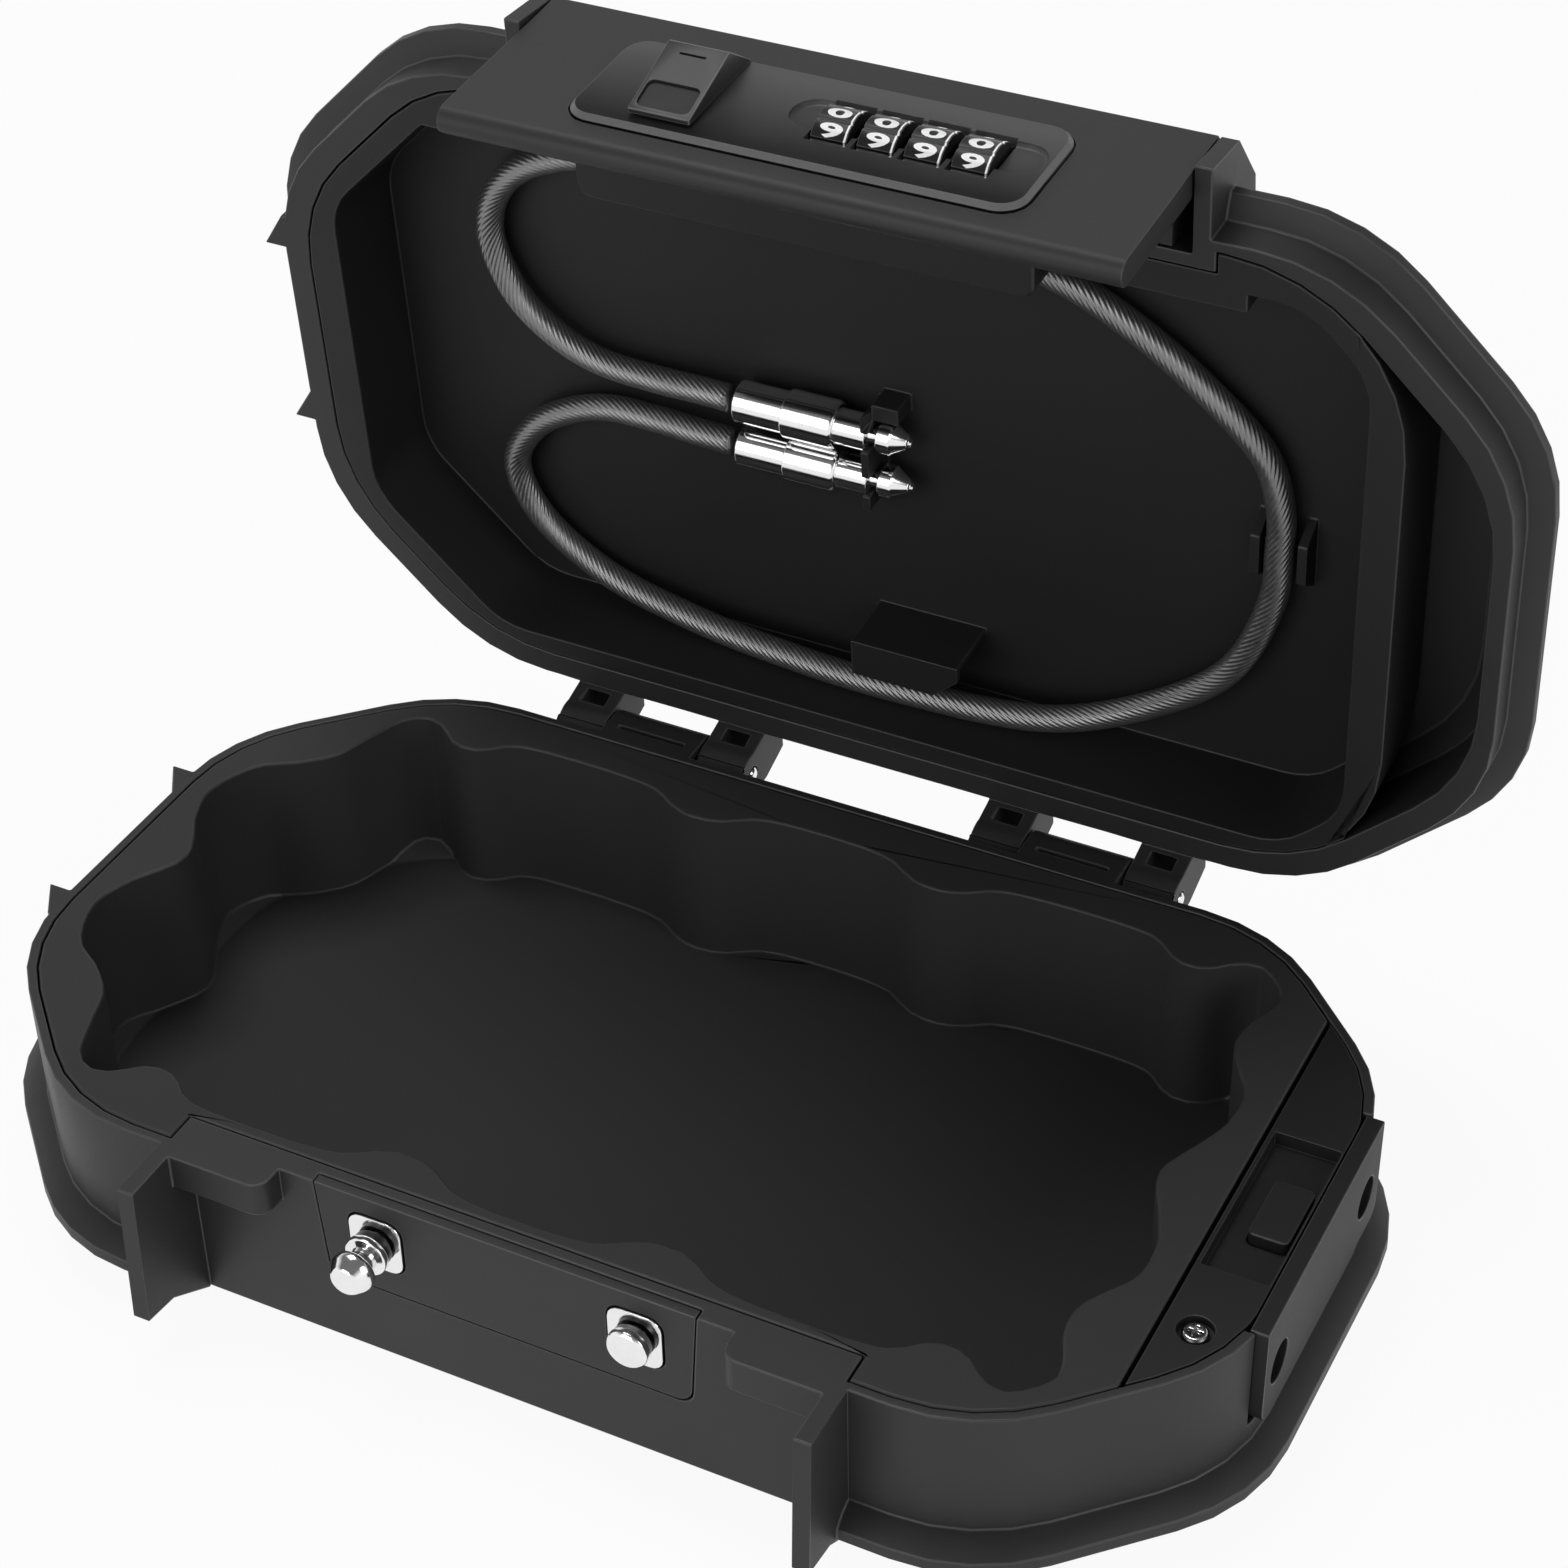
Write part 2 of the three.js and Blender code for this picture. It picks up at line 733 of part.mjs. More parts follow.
function openingOutline() {
  const front = scallopCentreShares.flatMap((centre, i) => scallopShares.map(([along, rise]) =>
    [(centre + along * scallopHalfShares[i]) * endX, frontY + openingInset + rise * scallopDepth]));
  const end = (shares) => shares.map(([along, across]) => [along * endX, -across * backY]);
  const half = [...end(leftEndShares).reverse(), ...front, ...end(rightEndShares)];
  const other = half.slice(1, -1).reverse().map(([x, y]) => [x, -y]);
  const curve = new THREE.CatmullRomCurve3(
    [...half, ...other].map(([x, y]) => new THREE.Vector3(x, y, 0)), true, 'centripetal');
  const steps = Math.round(curve.getLength() / openingStep);
  return curve.getSpacedPoints(steps).slice(0, steps).map((point) => [point.x, point.y]);
}

function baseLiner() {
  const beyond = block(linerEnd, endX, frontY, backY, 0, rimHeight + overrun);
  const pocket = alongZ(openingOutline(), floorThickness + seatGap + linerFloor, rimHeight + overrun)
    .intersect(baseHollow(seatGap + linerWall, rimHeight + overrun));
  return cut(baseHollow(seatGap, rimHeight), beyond, pocket);
}

// Stud plate, washers and the two studs
function strikePlate() {
  const holes = mirrored((side) => alongY(rectangle(
    side * studOffset - washerWidth / 2 - seatGap, side * studOffset + washerWidth / 2 + seatGap,
    studHeight - washerHeight / 2 - seatGap, studHeight + washerHeight / 2 + seatGap,
    washerCorner + seatGap), bayY - overrun, bayY + strikeThickness + overrun));
  return cut(alongY(strikeOutline(0), bayY, bayY + strikeThickness), ...holes);
}

function studWasher(side) {
  const x = side * studOffset;
  const plate = alongY(rectangle(x - washerWidth / 2, x + washerWidth / 2,
    studHeight - washerHeight / 2, studHeight + washerHeight / 2, washerCorner),
  bayY - washerProud, bayY - washerProud + washerThickness + washerProud);
  return cut(plate, bar('y', studShank + seatGap, bayY - overrun, bayY + bayWall, x, studHeight));
}

function stud(side) {
  const root = bayY + bayWall - studRoot - seatGap;
  const start = root - bayY;
  const collarStart = start + washerProud + seatGap;
  const long = [
    [flangeRadius, start + collarEnd], [flangeRadius, start + flangeEnd],
    [neckRadius, start + flangeEnd], [neckRadius, start + neckEnd],
    [bellRadius, start + neckEnd], [bellRadius, start + bellShoulder],
    [bellTipRadius, start + bellEnd], [0, start + bellEnd],
  ];
  const short = [
    [shortHeadRadius, start + shortCollarEnd], [shortHeadRadius, start + shortHeadEnd - headEdge],
    [shortHeadRadius - headEdge, start + shortHeadEnd], [0, start + shortHeadEnd],
  ];
  const head = side < 0 ? long : short;
  const neckStart = side < 0 ? start + collarEnd : start + shortCollarEnd;
  return turned([
    [0, 0], [studShank, 0], [studShank, collarStart], [collarRadius, collarStart],
    [collarRadius, neckStart], ...head,
  ], towardFront, side * studOffset, root, studHeight);
}

// Cable lock: cover, side plate, body, release button, catch plate and spring
function coverZone() {
  return block(coverStart, endX, frontY, backY, 0, rimHeight + overrun);
}

function releaseOutline(clearance, length, half, radius) {
  return rectangle(releaseX - length / 2 - clearance, releaseX + length / 2 + clearance,
    -half - clearance, half + clearance, radius);
}

function cableLockCover() {
  const inside = octagon({ all: -rimWall - seatGap });
  const seat = rimHeight - coverThickness;
  const plate = alongZ(inside, seat, rimHeight).intersect(coverZone());
  const dish = block(coverStart, dishEnd, -recessHalf - dishWall, recessHalf + dishWall,
    dishFloor, seat + overrun);
  const plateNotch = block(dishEnd, endX + overrun, -plateHalf - seatGap,
    plateHalf + seatGap, 0, rimHeight + overrun);
  const recess = block(coverStart + recessEdge, dishEnd - recessLip, -recessHalf, recessHalf,
    rimHeight - recessDepth, rimHeight + overrun);
  const buttonHole = alongZ(releaseOutline(seatGap, releaseLength, releaseHalf,
    releaseCorner + seatGap), 0, rimHeight);
  const counterbore = bar('z', counterboreRadius, rimHeight - counterboreDepth,
    rimHeight + overrun, coverScrewX, coverScrewY);
  const screwHole = bar('z', coverScrewShank + seatGap, 0, rimHeight, coverScrewX, coverScrewY);
  return cut(join(cut(plate, plateNotch), dish), recess, buttonHole, counterbore, screwHole);
}

function coverScrew() {
  const headFoot = rimHeight - counterboreDepth + seatGap;
  const screw = turned([
    [0, 0], [coverScrewShank, 0], [coverScrewShank, coverScrewLength],
    [coverScrewHead, coverScrewLength], [coverScrewHead, coverScrewLength + headEdge],
    [coverScrewHead - headEdge, rimHeight - headFoot + coverScrewLength - seatGap],
    [0, rimHeight - headFoot + coverScrewLength - seatGap],
  ], upward, coverScrewX, coverScrewY, headFoot - coverScrewLength);
  const top = rimHeight - seatGap;
  const slots = [[crossLength, crossWidth], [crossWidth, crossLength]].map(([x, y]) =>
    block(coverScrewX - x / 2, coverScrewX + x / 2, coverScrewY - y / 2, coverScrewY + y / 2,
      top - crossDepth, top + overrun));
  return cut(screw, ...slots);
}

function socketPlate() {
  const plate = alongX(rounded([
    [-plateHalf, plateFoot], [plateHalf, plateFoot], [plateHalf, rimHeight], [-plateHalf, rimHeight],
  ], [plateCorner, plateCorner, 0, 0]), plateRear, plateFace);
  const mouths = mirrored((side) => bar('x', socketMouth, plateRear - overrun, plateFace + overrun,
    side * socketOffset, socketHeight));
  return cut(plate, ...mouths);
}

function cableLockBody() {
  const back = coverStart + ribThickness / 2 + seatGap;
  const front = plateRear - seatGap;
  const body = block(back, front, -plateHalf - bodyBeyond, plateHalf + bodyBeyond, 0, lockBodyTop)
    .intersect(baseHollow(seatGap, rimHeight));
  const bores = mirrored((side) => bar('x', socketBore, back + dishWall, front + overrun,
    side * socketOffset, socketHeight));
  const mouths = mirrored((side) => bar('x', bodyMouth, catchX + bodyMouthLead, front + overrun,
    side * socketOffset, socketHeight));
  const slot = block(catchX - catchThickness / 2 - seatGap, catchX + catchThickness / 2 + seatGap,
    -catchHalf - seatGap, catchHalf + seatGap, catchFoot - releaseTravel - seatGap,
    lockBodyTop + overrun);
  const springWell = bar('z', springRadius + springWire + seatGap, springFoot - seatGap,
    lockBodyTop + overrun, catchX, 0);
  const wellHalf = releaseLength / 2 + overrun;
  const wellFoot = releaseFoot - releaseTravel - seatGap - bodyGap - bodyGap;
  const buttonWell = block(releaseX - wellHalf, releaseX + wellHalf, -releaseFootHalf - seatGap,
    releaseFootHalf + seatGap, wellFoot, lockBodyTop + overrun);
  return cut(body, ...bores, ...mouths, slot, springWell, buttonWell);
}

function catchPlate() {
  const low = catchX - catchThickness / 2;
  const high = catchX + catchThickness / 2;
  const plate = alongX(rectangle(-catchHalf, catchHalf, catchFoot, releaseFoot - seatGap), low, high);
  const keyholes = mirrored((side) => join(
    bar('x', catchEntry, low - overrun, high + overrun, side * socketOffset, releaseZ),
    block(low - overrun, high + overrun, side * socketOffset - catchSlot,
      side * socketOffset + catchSlot, socketHeight, releaseZ),
    bar('x', catchSlot, low - overrun, high + overrun, side * socketOffset, socketHeight),
  ));
  return cut(plate, ...keyholes);
}

function releaseButton() {
  const cap = alongZ(releaseOutline(0, releaseLength, releaseHalf, releaseCorner),
    releaseFoot, rimHeight - releaseSunk);
  const foot = block(releaseX - releaseLength / 2, releaseX + releaseLength / 2,
    -releaseFootHalf, releaseFootHalf, releaseFoot, dishFloor - seatGap);
  return join(cap, foot);
}

function buttonSpring() {
  const top = catchFoot - seatGap;
  const turnsPath = new THREE.Curve();
  const low = springFoot + springWire;
  const rise = top - springWire - low;
  turnsPath.getPoint = (t, target = new THREE.Vector3()) => {
    const angle = 2 * Math.PI * springTurns * t;
    return target.set(springRadius * Math.cos(angle), springRadius * Math.sin(angle), low + rise * t);
  };
  const steps = springTurns * springStepsPerTurn;
  return tube(turnsPath, springWire, springSides, steps).translate(catchX, 0, 0);
}

// A closed tube along a curve
function tube(path, radius, sides, steps) {
  const frames = path.computeFrenetFrames(steps, false);
  const positions = [];
  for (let i = 0; i <= steps; i += 1) {
    const centre = path.getPointAt(i / steps);
    for (let j = 0; j < sides; j += 1) {
      const angle = 2 * Math.PI * j / sides;
      const point = centre.clone()
        .addScaledVector(frames.normals[i], radius * Math.cos(angle))
        .addScaledVector(frames.binormals[i], radius * Math.sin(angle));
      positions.push(point.x, point.y, point.z);
    }
  }
  const index = [];
  for (let i = 0; i < steps; i += 1) {
    for (let j = 0; j < sides; j += 1) {
      const a = i * sides + j;
      const b = i * sides + (j + 1) % sides;
      index.push(a, b, b + sides, a, b + sides, a + sides);
    }
  }
  const last = steps * sides;
  for (let j = 1; j < sides - 1; j += 1) {
    index.push(0, j + 1, j);
    index.push(last, last + j, last + j + 1);
  }
  const geometry = new THREE.BufferGeometry();
  geometry.setAttribute('position', new THREE.Float32BufferAttribute(positions, 3));
  geometry.setIndex(index);
  return solidOf(geometry);
}

// Hinge pins and the lid's hinge arms
function hingePin(side) {
  const reach = lugLength / 2 + hingeGap + armLength + pinOverhang;
  const x = side * hingeOffset;
  return bar('x', pinRadius, x - reach, x + reach, hingeY, hingeZ);
}

const armShares = { foot: 0.25, shoulder: 0.97, crown: 0.5 };
const heelShares = { nearY: -0.8, nearZ: -0.6, toe: 0.5, farY: 0.95, farZ: -0.3 };

function hingeArm(side, end) {
  const middle = side * hingeOffset + end * (lugLength / 2 + hingeGap + armLength / 2);
  const low = middle - armLength / 2;
  const high = middle + armLength / 2;
  const root = backY - armRoot;
  const clearY = backY + seatGap;
  const tilt = THREE.MathUtils.degToRad(90 - openAngle);
  const stopReach = hingeBehind - seatGap;
  const stopY = hingeY - stopReach * Math.sin(tilt);
  const stopZ = hingeZ - stopReach * Math.cos(tilt);
  const web = alongX([
    [root, lidRim + seatGap],
    [clearY, lidRim + seatGap],
    [clearY + hingeBelow * armShares.foot, hingeZ],
    [hingeY, hingeZ],
    [hingeY + hingeBelow, hingeZ],
    [hingeY + hingeBelow * armShares.shoulder, rimHeight],
    [hingeY + hingeBelow * armShares.crown, lidRim + armHeight],
    [root, lidRim + armHeight],
  ], low, high);
  const heel = alongX([
    [hingeY + hingeBelow * heelShares.nearY, hingeZ + hingeBelow * heelShares.nearZ],
    [stopY - hingeBelow * heelShares.toe, stopZ + heelLift],
    [stopY, stopZ],
    [stopY + heelReach * Math.cos(tilt), stopZ - heelReach * Math.sin(tilt)],
    [hingeY + hingeBelow * heelShares.farY, hingeZ + hingeBelow * heelShares.farZ],
  ], low, high);
  const pocket = block(middle - armPocketLength / 2, middle + armPocketLength / 2,
    clearY + seatGap, clearY + armPocketDepth, hingeZ + pinRadius, lidRim + armHeight - pocketMargin);
  return cut(
    join(web, heel, bar('x', hingeBelow, low, high, hingeY, hingeZ)),
    bar('x', pinRadius + seatGap, low - overrun, high + overrun, hingeY, hingeZ),
    pocket.subtract(bar('x', hingeBelow - seatGap, low, high, hingeY, hingeZ)),
  );
}

// Lid shell: skirted and crowned outside, tapered hollow, cheeks and front boss
function lidShell() {
  const at = (reach, height) => ({ outline: octagon({ all: reach }), z: lidRim + height });
  const outside = stack([
    at(0, 0), at(0, lidWallHeight), at(lidStepReach, lidStepHeight), at(lidSkirtReach, lidSkirtFoot),
    at(lidSkirtReach, lidSkirtTop), at(lidShoulderReach, lidShoulderHeight),
    at(-lidCrownInset, lidCrownHeight), at(-lidTopInset, lidHeight),
  ]);
  const boss = alongX([
    [frontY - cheekReach, lidRim],
    [frontY + bossBack, lidRim],
    [frontY + bossBack, lidRim + cheekCrownHeight],
    [frontY + bayDepth - cheekCrownReach, lidRim + cheekCrownHeight],
    [frontY - cheekCrownReach, lidRim + cheekCrownHeight - seatGap],
    [frontY - cheekShoulderReach, lidRim + cheekShoulderHeight],
  ], -bossHalfLength, bossHalfLength);
  const bayCut = block(-bayHalfLength, bayHalfLength, frontY - cheekReach - overrun, bayY,
    lidRim - overrun, lidRim + lidHeight + overrun);
  const mouth = octagon({ all: -lidSideBand, front: -lidFrontBand, right: -lidEndBand });
  const hollow = cut(stack([
    { outline: mouth, z: lidRim - overrun },
    { outline: mouth, z: lidRim + lidHollowStraight },
    { outline: octagon({ all: -lidHollowTopInset }), z: shellTop },
  ]), block(-bossHalfLength - overrun, bossHalfLength + overrun, frontY - overrun, bayY + lidFrontWall,
    lidRim - overrun - overrun, shellTop + overrun));
  const fins = [lidFinFrontStart, lidFinRearStart].map((start) => fin(start, lidFinLength, lidRim)
    .subtract(hollow));
  const arms = [-1, 1].flatMap((side) => [-1, 1].map((end) => hingeArm(side, end)));
  return join(cut(join(outside, boss), bayCut, hollow), ...fins, ...arms);
}

// Lid tray: a moulded insert with prongs, a hook clip and the plug holder
function trayPocketOutline(draft) {
  return octagon({
    right: -trayRightInset - draft,
    left: -trayLeftInset - draft,
    back: -trayBackInset - draft,
    front: -trayFrontInset - draft,
    diagonal: -trayDiagonalInset - draft,
  }, trayInnerRadius);
}

function trayClip() {
  const tip = trayFloorZ - clipHeight;
  const postY = backY - trayBackInset - clipInset;
  const endY = postY + clipReach;
  const post = block(clipStart, clipEnd, postY, postY + clipWall, tip, trayFloorZ + trayFloor / 2);
  const hook = alongZ([
    [clipStart, postY], [clipEnd, postY], [clipEnd, endY - clipCornerAcross],
    [clipEnd - clipCornerAlong, endY], [clipStart, endY],
  ], tip, tip + clipWall);
  return join(post, hook);
}

function trayProngs() {
  const floor = trayFloorZ + trayFloor / 2;
  const tip = trayFloorZ - prongHeight;
  const outline = [
    [prongStart, floor], [prongStart, trayFloorZ], [prongStart + prongRampStart, tip],
    [prongEnd - prongRampEnd, tip], [prongEnd, trayFloorZ], [prongEnd, floor],
  ];
  const right = prongMiddle + prongSpace / 2;
  const left = prongMiddle - prongSpace / 2;
  return [
    alongX(outline, right, right + prongThickness),
    alongX(outline, left - prongThickness, left),
  ];
}

function plugHolder() {
  const floor = trayFloorZ + trayFloor / 2;
  const neckX = plugStart + crimpLength + plugBodyLength + plugShaftLength + plugNeckLength / 2;
  const wall = block(neckX - holderWall / 2, neckX + holderWall / 2, holderStart, holderEnd,
    trayFloorZ - holderHeight, floor);
  const notches = [plugLowY, plugHighY].map((y) => join(
    bar('x', plugNeckRadius + seatGap, neckX - overrun, neckX + overrun, y, plugZ),
    block(neckX - overrun, neckX + overrun, y - plugNeckRadius - seatGap,
      y + plugNeckRadius + seatGap, trayFloorZ - holderHeight - overrun, plugZ),
  ));
  const stopY = plugLowY - plugCapRadius - seatGap;
  const stop = block(neckX + holderWall / 2 - seatGap, neckX + holderWall / 2 + stopBlockLength,
    stopY - stopBlockWidth, stopY, trayFloorZ - stopBlockHeight, floor);
  return join(cut(wall, ...notches), stop);
}

function lidTray() {
  const right = -trayEndInset;
  const mouth = octagon({ all: -lidSideBand - seatGap, front: -lidFrontBand - seatGap, right });
  const outside = stack([
    { outline: mouth, z: lidRim },
    { outline: mouth, z: lidRim + lidHollowStraight - seatGap },
    { outline: octagon({ all: -lidHollowTopInset - seatGap, right }), z: trayTop },
  ]);
  const frontJog = block(-bossHalfLength - overrun - seatGap, bossHalfLength + overrun + seatGap,
    frontY - overrun, bayY + lidFrontWall + seatGap, lidRim - overrun, trayTop + overrun);
  const pocket = cut(stack([
    { outline: trayPocketOutline(0), z: lidRim - overrun },
    { outline: trayPocketOutline(trayDraft), z: trayFloorZ },
  ]), block(-endX, bossHalfLength + trayStepBeyond, frontY, frontY + trayStepFront,
    lidRim - overrun - overrun, shellTop));
  return join(cut(outside, frontJog, pocket), trayClip(), ...trayProngs(), plugHolder());
}

// Lock housing: bullnosed front plate, crown, end walls and the box round the works
function lockHousing() {
  const noseRadius = lockPlate / 2;
  const nose = Array.from({ length: noseSteps + 1 }, (_, i) => {
    const angle = Math.PI * i / noseSteps;
    return [lockY + noseRadius + noseRadius * Math.cos(angle),
      lockFoot + noseRadius - noseRadius * Math.sin(angle)];
  });
  const crownY = frontY - lockCrownReach;
  const rearY = bayY - seatGap;
  const skinShoulder = lockShoulder + lockSkin;
  const profile = [
    ...nose,
    [lockY, lockShoulder], [crownY, lockCrownTop], [rearY, lockTop],
    [rearY, lockTop - lockSkin], [crownY, lockCrownTop - lockSkin], [lockInnerY, skinShoulder],
  ];
  const plate = alongX(profile, -housingHalf, housingHalf);
  const endWalls = mirrored((side) => {
    const outer = side * (housingHalf - endWallInset);
    const inner = side * (housingHalf - endWallInset - endWallThickness);
    return alongX([
      [lockInnerY - overrun, endWallFoot], [rearY, endWallFoot],
      [rearY, lockTop - lockSkin / 2], [crownY, lockCrownTop - lockSkin / 2],
      [lockInnerY - overrun, skinShoulder - overrun],
    ], Math.min(inner, outer), Math.max(inner, outer));
  });
  const wallRear = coverFrontY - seatGap;
  const root = lockInnerY - overrun;
  const sideWalls = mirrored((side) => alongX([
    [root, boxFoot], [wallRear, boxRearFoot], [wallRear, boxWallTop], [root, boxWallTop],
  ], Math.min(side * boxHalf, side * (boxHalf - boxWall)),
  Math.max(side * boxHalf, side * (boxHalf - boxWall))));
  const slopedFoot = alongX([
    [root, boxFoot], [wallRear, boxRearFoot], [wallRear, boxRearFoot + boxWall],
    [root, boxFoot + boxWall],
  ], -boxHalf, boxHalf);
  const bosses = backScrewPlaces.map(([x, z]) => bar('y', bossRadius, root, wallRear, x, z));
  const screwHoles = backScrewPlaces.map(([x, z]) =>
    bar('y', screwShankRadius + seatGap, wallRear - screwLength, wallRear + overrun, x, z));
  const studWays = mirrored((side) => block(side * studOffset - studSlotHalf,
    side * studOffset + studSlotHalf, lockInnerY, bayY, boxFoot - overrun,
    boxRearFoot + boxWall + overrun));
  const panelSeat = alongY(rectangle(-panelHalf - seatGap, panelHalf + seatGap,
    panelFoot - seatGap, panelTop + seatGap, panelCorner + seatGap),
  lockY - overrun, lockY + panelThickness - panelProud + seatGap);
  const windows = dialPlaces().map((x) => block(x - windowLength / 2, x + windowLength / 2,
    lockY - overrun, lockInnerY + overrun, dialHeight - windowHalf, dialHeight + windowHalf));
  const spindleBore = bar('x', spindleRadius + seatGap, spindleStart - seatGap,
    spindleEnd + seatGap, dialY, dialHeight);
  const carrierWay = block(buttonStart - carrierMargin - seatGap, buttonEnd + carrierMargin + seatGap,
    lockInnerY - carrierPocket, lockInnerY + overrun, carrierFoot - seatGap,
    carrierTop + slideTravel + seatGap);
  const stemWay = block(buttonStart + stemMargin - seatGap, buttonEnd - stemMargin + seatGap,
    lockY - overrun, lockInnerY, stemFoot - seatGap, stemTop + slideTravel + seatGap);
  return cut(join(plate, ...endWalls, ...sideWalls, slopedFoot, ...bosses),
    ...screwHoles, ...studWays, panelSeat, ...windows, spindleBore, carrierWay, stemWay);
}

function dialPlaces() {
  return Array.from({ length: dialCount }, (_, i) => dialFirst + i * dialPitch);
}

function lockPanel() {
  const face = panelY;
  const back = panelY + panelThickness;
  const plate = alongY(rectangle(-panelHalf, panelHalf, panelFoot, panelTop, panelCorner), face, back);
  const grooveZ = dialHeight + grooveRise;
  const groove = alongY(rectangle(grooveStart, grooveEnd, grooveZ - grooveRadius,
    grooveZ + grooveRadius, grooveCorner, grooveSteps), face - overrun, face + grooveDepth);
  const windows = dialPlaces().map((x) => block(x - windowLength / 2, x + windowLength / 2,
    face - overrun, back + overrun, dialHeight - panelWindowHalf, dialHeight + panelWindowHalf));
  const stemWay = block(buttonStart + stemMargin - seatGap, buttonEnd - stemMargin + seatGap,
    face - overrun, back + overrun, stemFoot - seatGap, stemTop + slideTravel + seatGap);
  return cut(plate, groove, ...windows, stemWay);
}

// Each digit's tile as [angle, depth] shares of its pitch and of the groove between tiles
const tileShares = [[0, 1], [0.12, 0], [0.5, 0], [0.88, 0]];

function dial(index) {
  const x = dialFirst + index * dialPitch;
  const outline = Array.from({ length: dialDigits }).flatMap((_, digit) =>
    tileShares.map(([turn, depth]) => {
      const angle = 2 * Math.PI * (digit + turn) / dialDigits;
      const radius = dialRadius - dialGroove * depth;
      return [dialY + radius * Math.cos(angle), dialHeight + radius * Math.sin(angle)];
    }));
  return cut(alongX(outline, x - dialWidth / 2, x + dialWidth / 2),
    bar('x', spindleRadius + seatGap, x - dialWidth, x + dialWidth, dialY, dialHeight, spindleSides));
}

function dialSpindle() {
  return bar('x', spindleRadius, spindleStart, spindleEnd, dialY, dialHeight, spindleSides);
}

function detentSpring() {
  const rear = lockInnerY + seatGap + detentThickness;
  const strip = block(detentStart, detentEnd, lockInnerY + seatGap, rear, detentFoot, detentTop);
  const fingers = dialPlaces().map((x) => block(x - fingerWidth / 2, x + fingerWidth / 2,
    lockInnerY + seatGap, rear, fingerFoot, detentFoot + overrun));
  return join(strip, ...fingers);
}

// Slide button with its stem, the carrier behind the plate and the latch plate
function slideButton() {
  const back = panelY - seatGap;
  const wedge = alongX([
    [back, buttonFoot], [panelY - buttonFootProud, buttonFoot],
    [panelY - buttonTopProud, buttonTop - buttonCrown],
    [panelY - buttonTopProud + buttonCorner, buttonTop], [back, buttonTop],
  ].reverse(), buttonStart, buttonEnd);
  const slope = (buttonTopProud - buttonFootProud) / (buttonTop - buttonCrown - buttonFoot);
  const faceAt = (z) => panelY - buttonFootProud - slope * (z - buttonFoot);
  const low = buttonFoot + padFoot;
  const high = low + padLength;
  const pad = alongX([
    [faceAt(low) - overrun, low], [faceAt(high) - overrun, high],
    [faceAt(high) + padDepth, high], [faceAt(low) + padDepth, low],
  ].reverse(), buttonStart + padInset, buttonEnd - padInset);
  const rearEdge = lockInnerY - carrierPocket + seatGap;
  const stem = block(buttonStart + stemMargin, buttonEnd - stemMargin, back - seatGap,
    rearEdge - seatGap, stemFoot, stemTop);
  return join(cut(wedge, pad), stem);
}

function slideCarrier() {
  const front = lockInnerY - carrierPocket + seatGap;
  const plate = block(buttonStart - carrierMargin, buttonEnd + carrierMargin, front,
    front + carrierThickness, carrierFoot, carrierTop);
  const follower = bar('y', followerRadius, front + carrierThickness / 2,
    coverFrontY - latchThickness / 2, pinX, pinZ, spindleSides);
  return join(plate, follower);
}

function latchPlate() {
  const rear = coverFrontY - seatGap;
  const front = rear - latchThickness;
  const neckFoot = -studDrop - neckRadius - seatGap;
  const jawTip = -studOffset + jawReach;
  const latchEnd = pinX + slideTravel + latchMargin;
  const outline = [
    [latchStart, jawFoot], [jawTip - jawRamp, jawFoot], [jawTip, neckFoot - jawTipHeight],
    [jawTip, neckFoot], [latchStart + latchArm, neckFoot], [latchStart + latchArm, latchFoot],
    [latchEnd, latchFoot], [latchEnd, latchTop], [latchStart, latchTop],
  ];
  const plate = alongY(outline, front, rear);
  const slotRadius = followerRadius + seatGap;
  const cam = new THREE.BoxGeometry(slideTravel * Math.SQRT2, rear - front + overrun + overrun,
    slotRadius + slotRadius)
    .rotateY(-Math.PI / 4)
    .translate(pinX + slideTravel / 2, (front + rear) / 2, pinZ + slideTravel / 2);
  const ends = [0, slideTravel].map((shift) => bar('y', slotRadius, front - overrun, rear + overrun,
    pinX + shift, pinZ + shift, spindleSides));
  return cut(plate, solidOf(cam), ...ends);
}

function lockBackCover() {
  const plate = alongY(rectangle(-boxHalf, boxHalf, backCoverFoot, backCoverTop, boxWall),
    coverFrontY, coverBackY);
  const slots = mirrored((side) => join(
    block(side * studOffset - studSlotHalf, side * studOffset + studSlotHalf, coverFrontY - overrun,
      coverBackY + overrun, backCoverFoot - overrun, studSlotTop - studSlotHalf),
    bar('y', studSlotHalf, coverFrontY - overrun, coverBackY + overrun, side * studOffset,
      studSlotTop - studSlotHalf),
  ));
  const holes = backScrewPlaces.map(([x, z]) =>
    bar('y', screwShankRadius + seatGap, coverFrontY - overrun, coverBackY + overrun, x, z));
  return cut(plate, ...slots, ...holes);
}

function backCoverScrew(x, z) {
  const head = coverBackY + seatGap;
  return turned([
    [0, 0], [screwHeadRadius - seatGap, 0], [screwHeadRadius, seatGap],
    [screwHeadRadius, screwHeadHeight], [screwShankRadius, screwHeadHeight],
    [screwShankRadius, screwHeadHeight + screwLength], [0, screwHeadHeight + screwLength],
  ], towardFront, x, head + screwHeadHeight, z, screwSides);
}

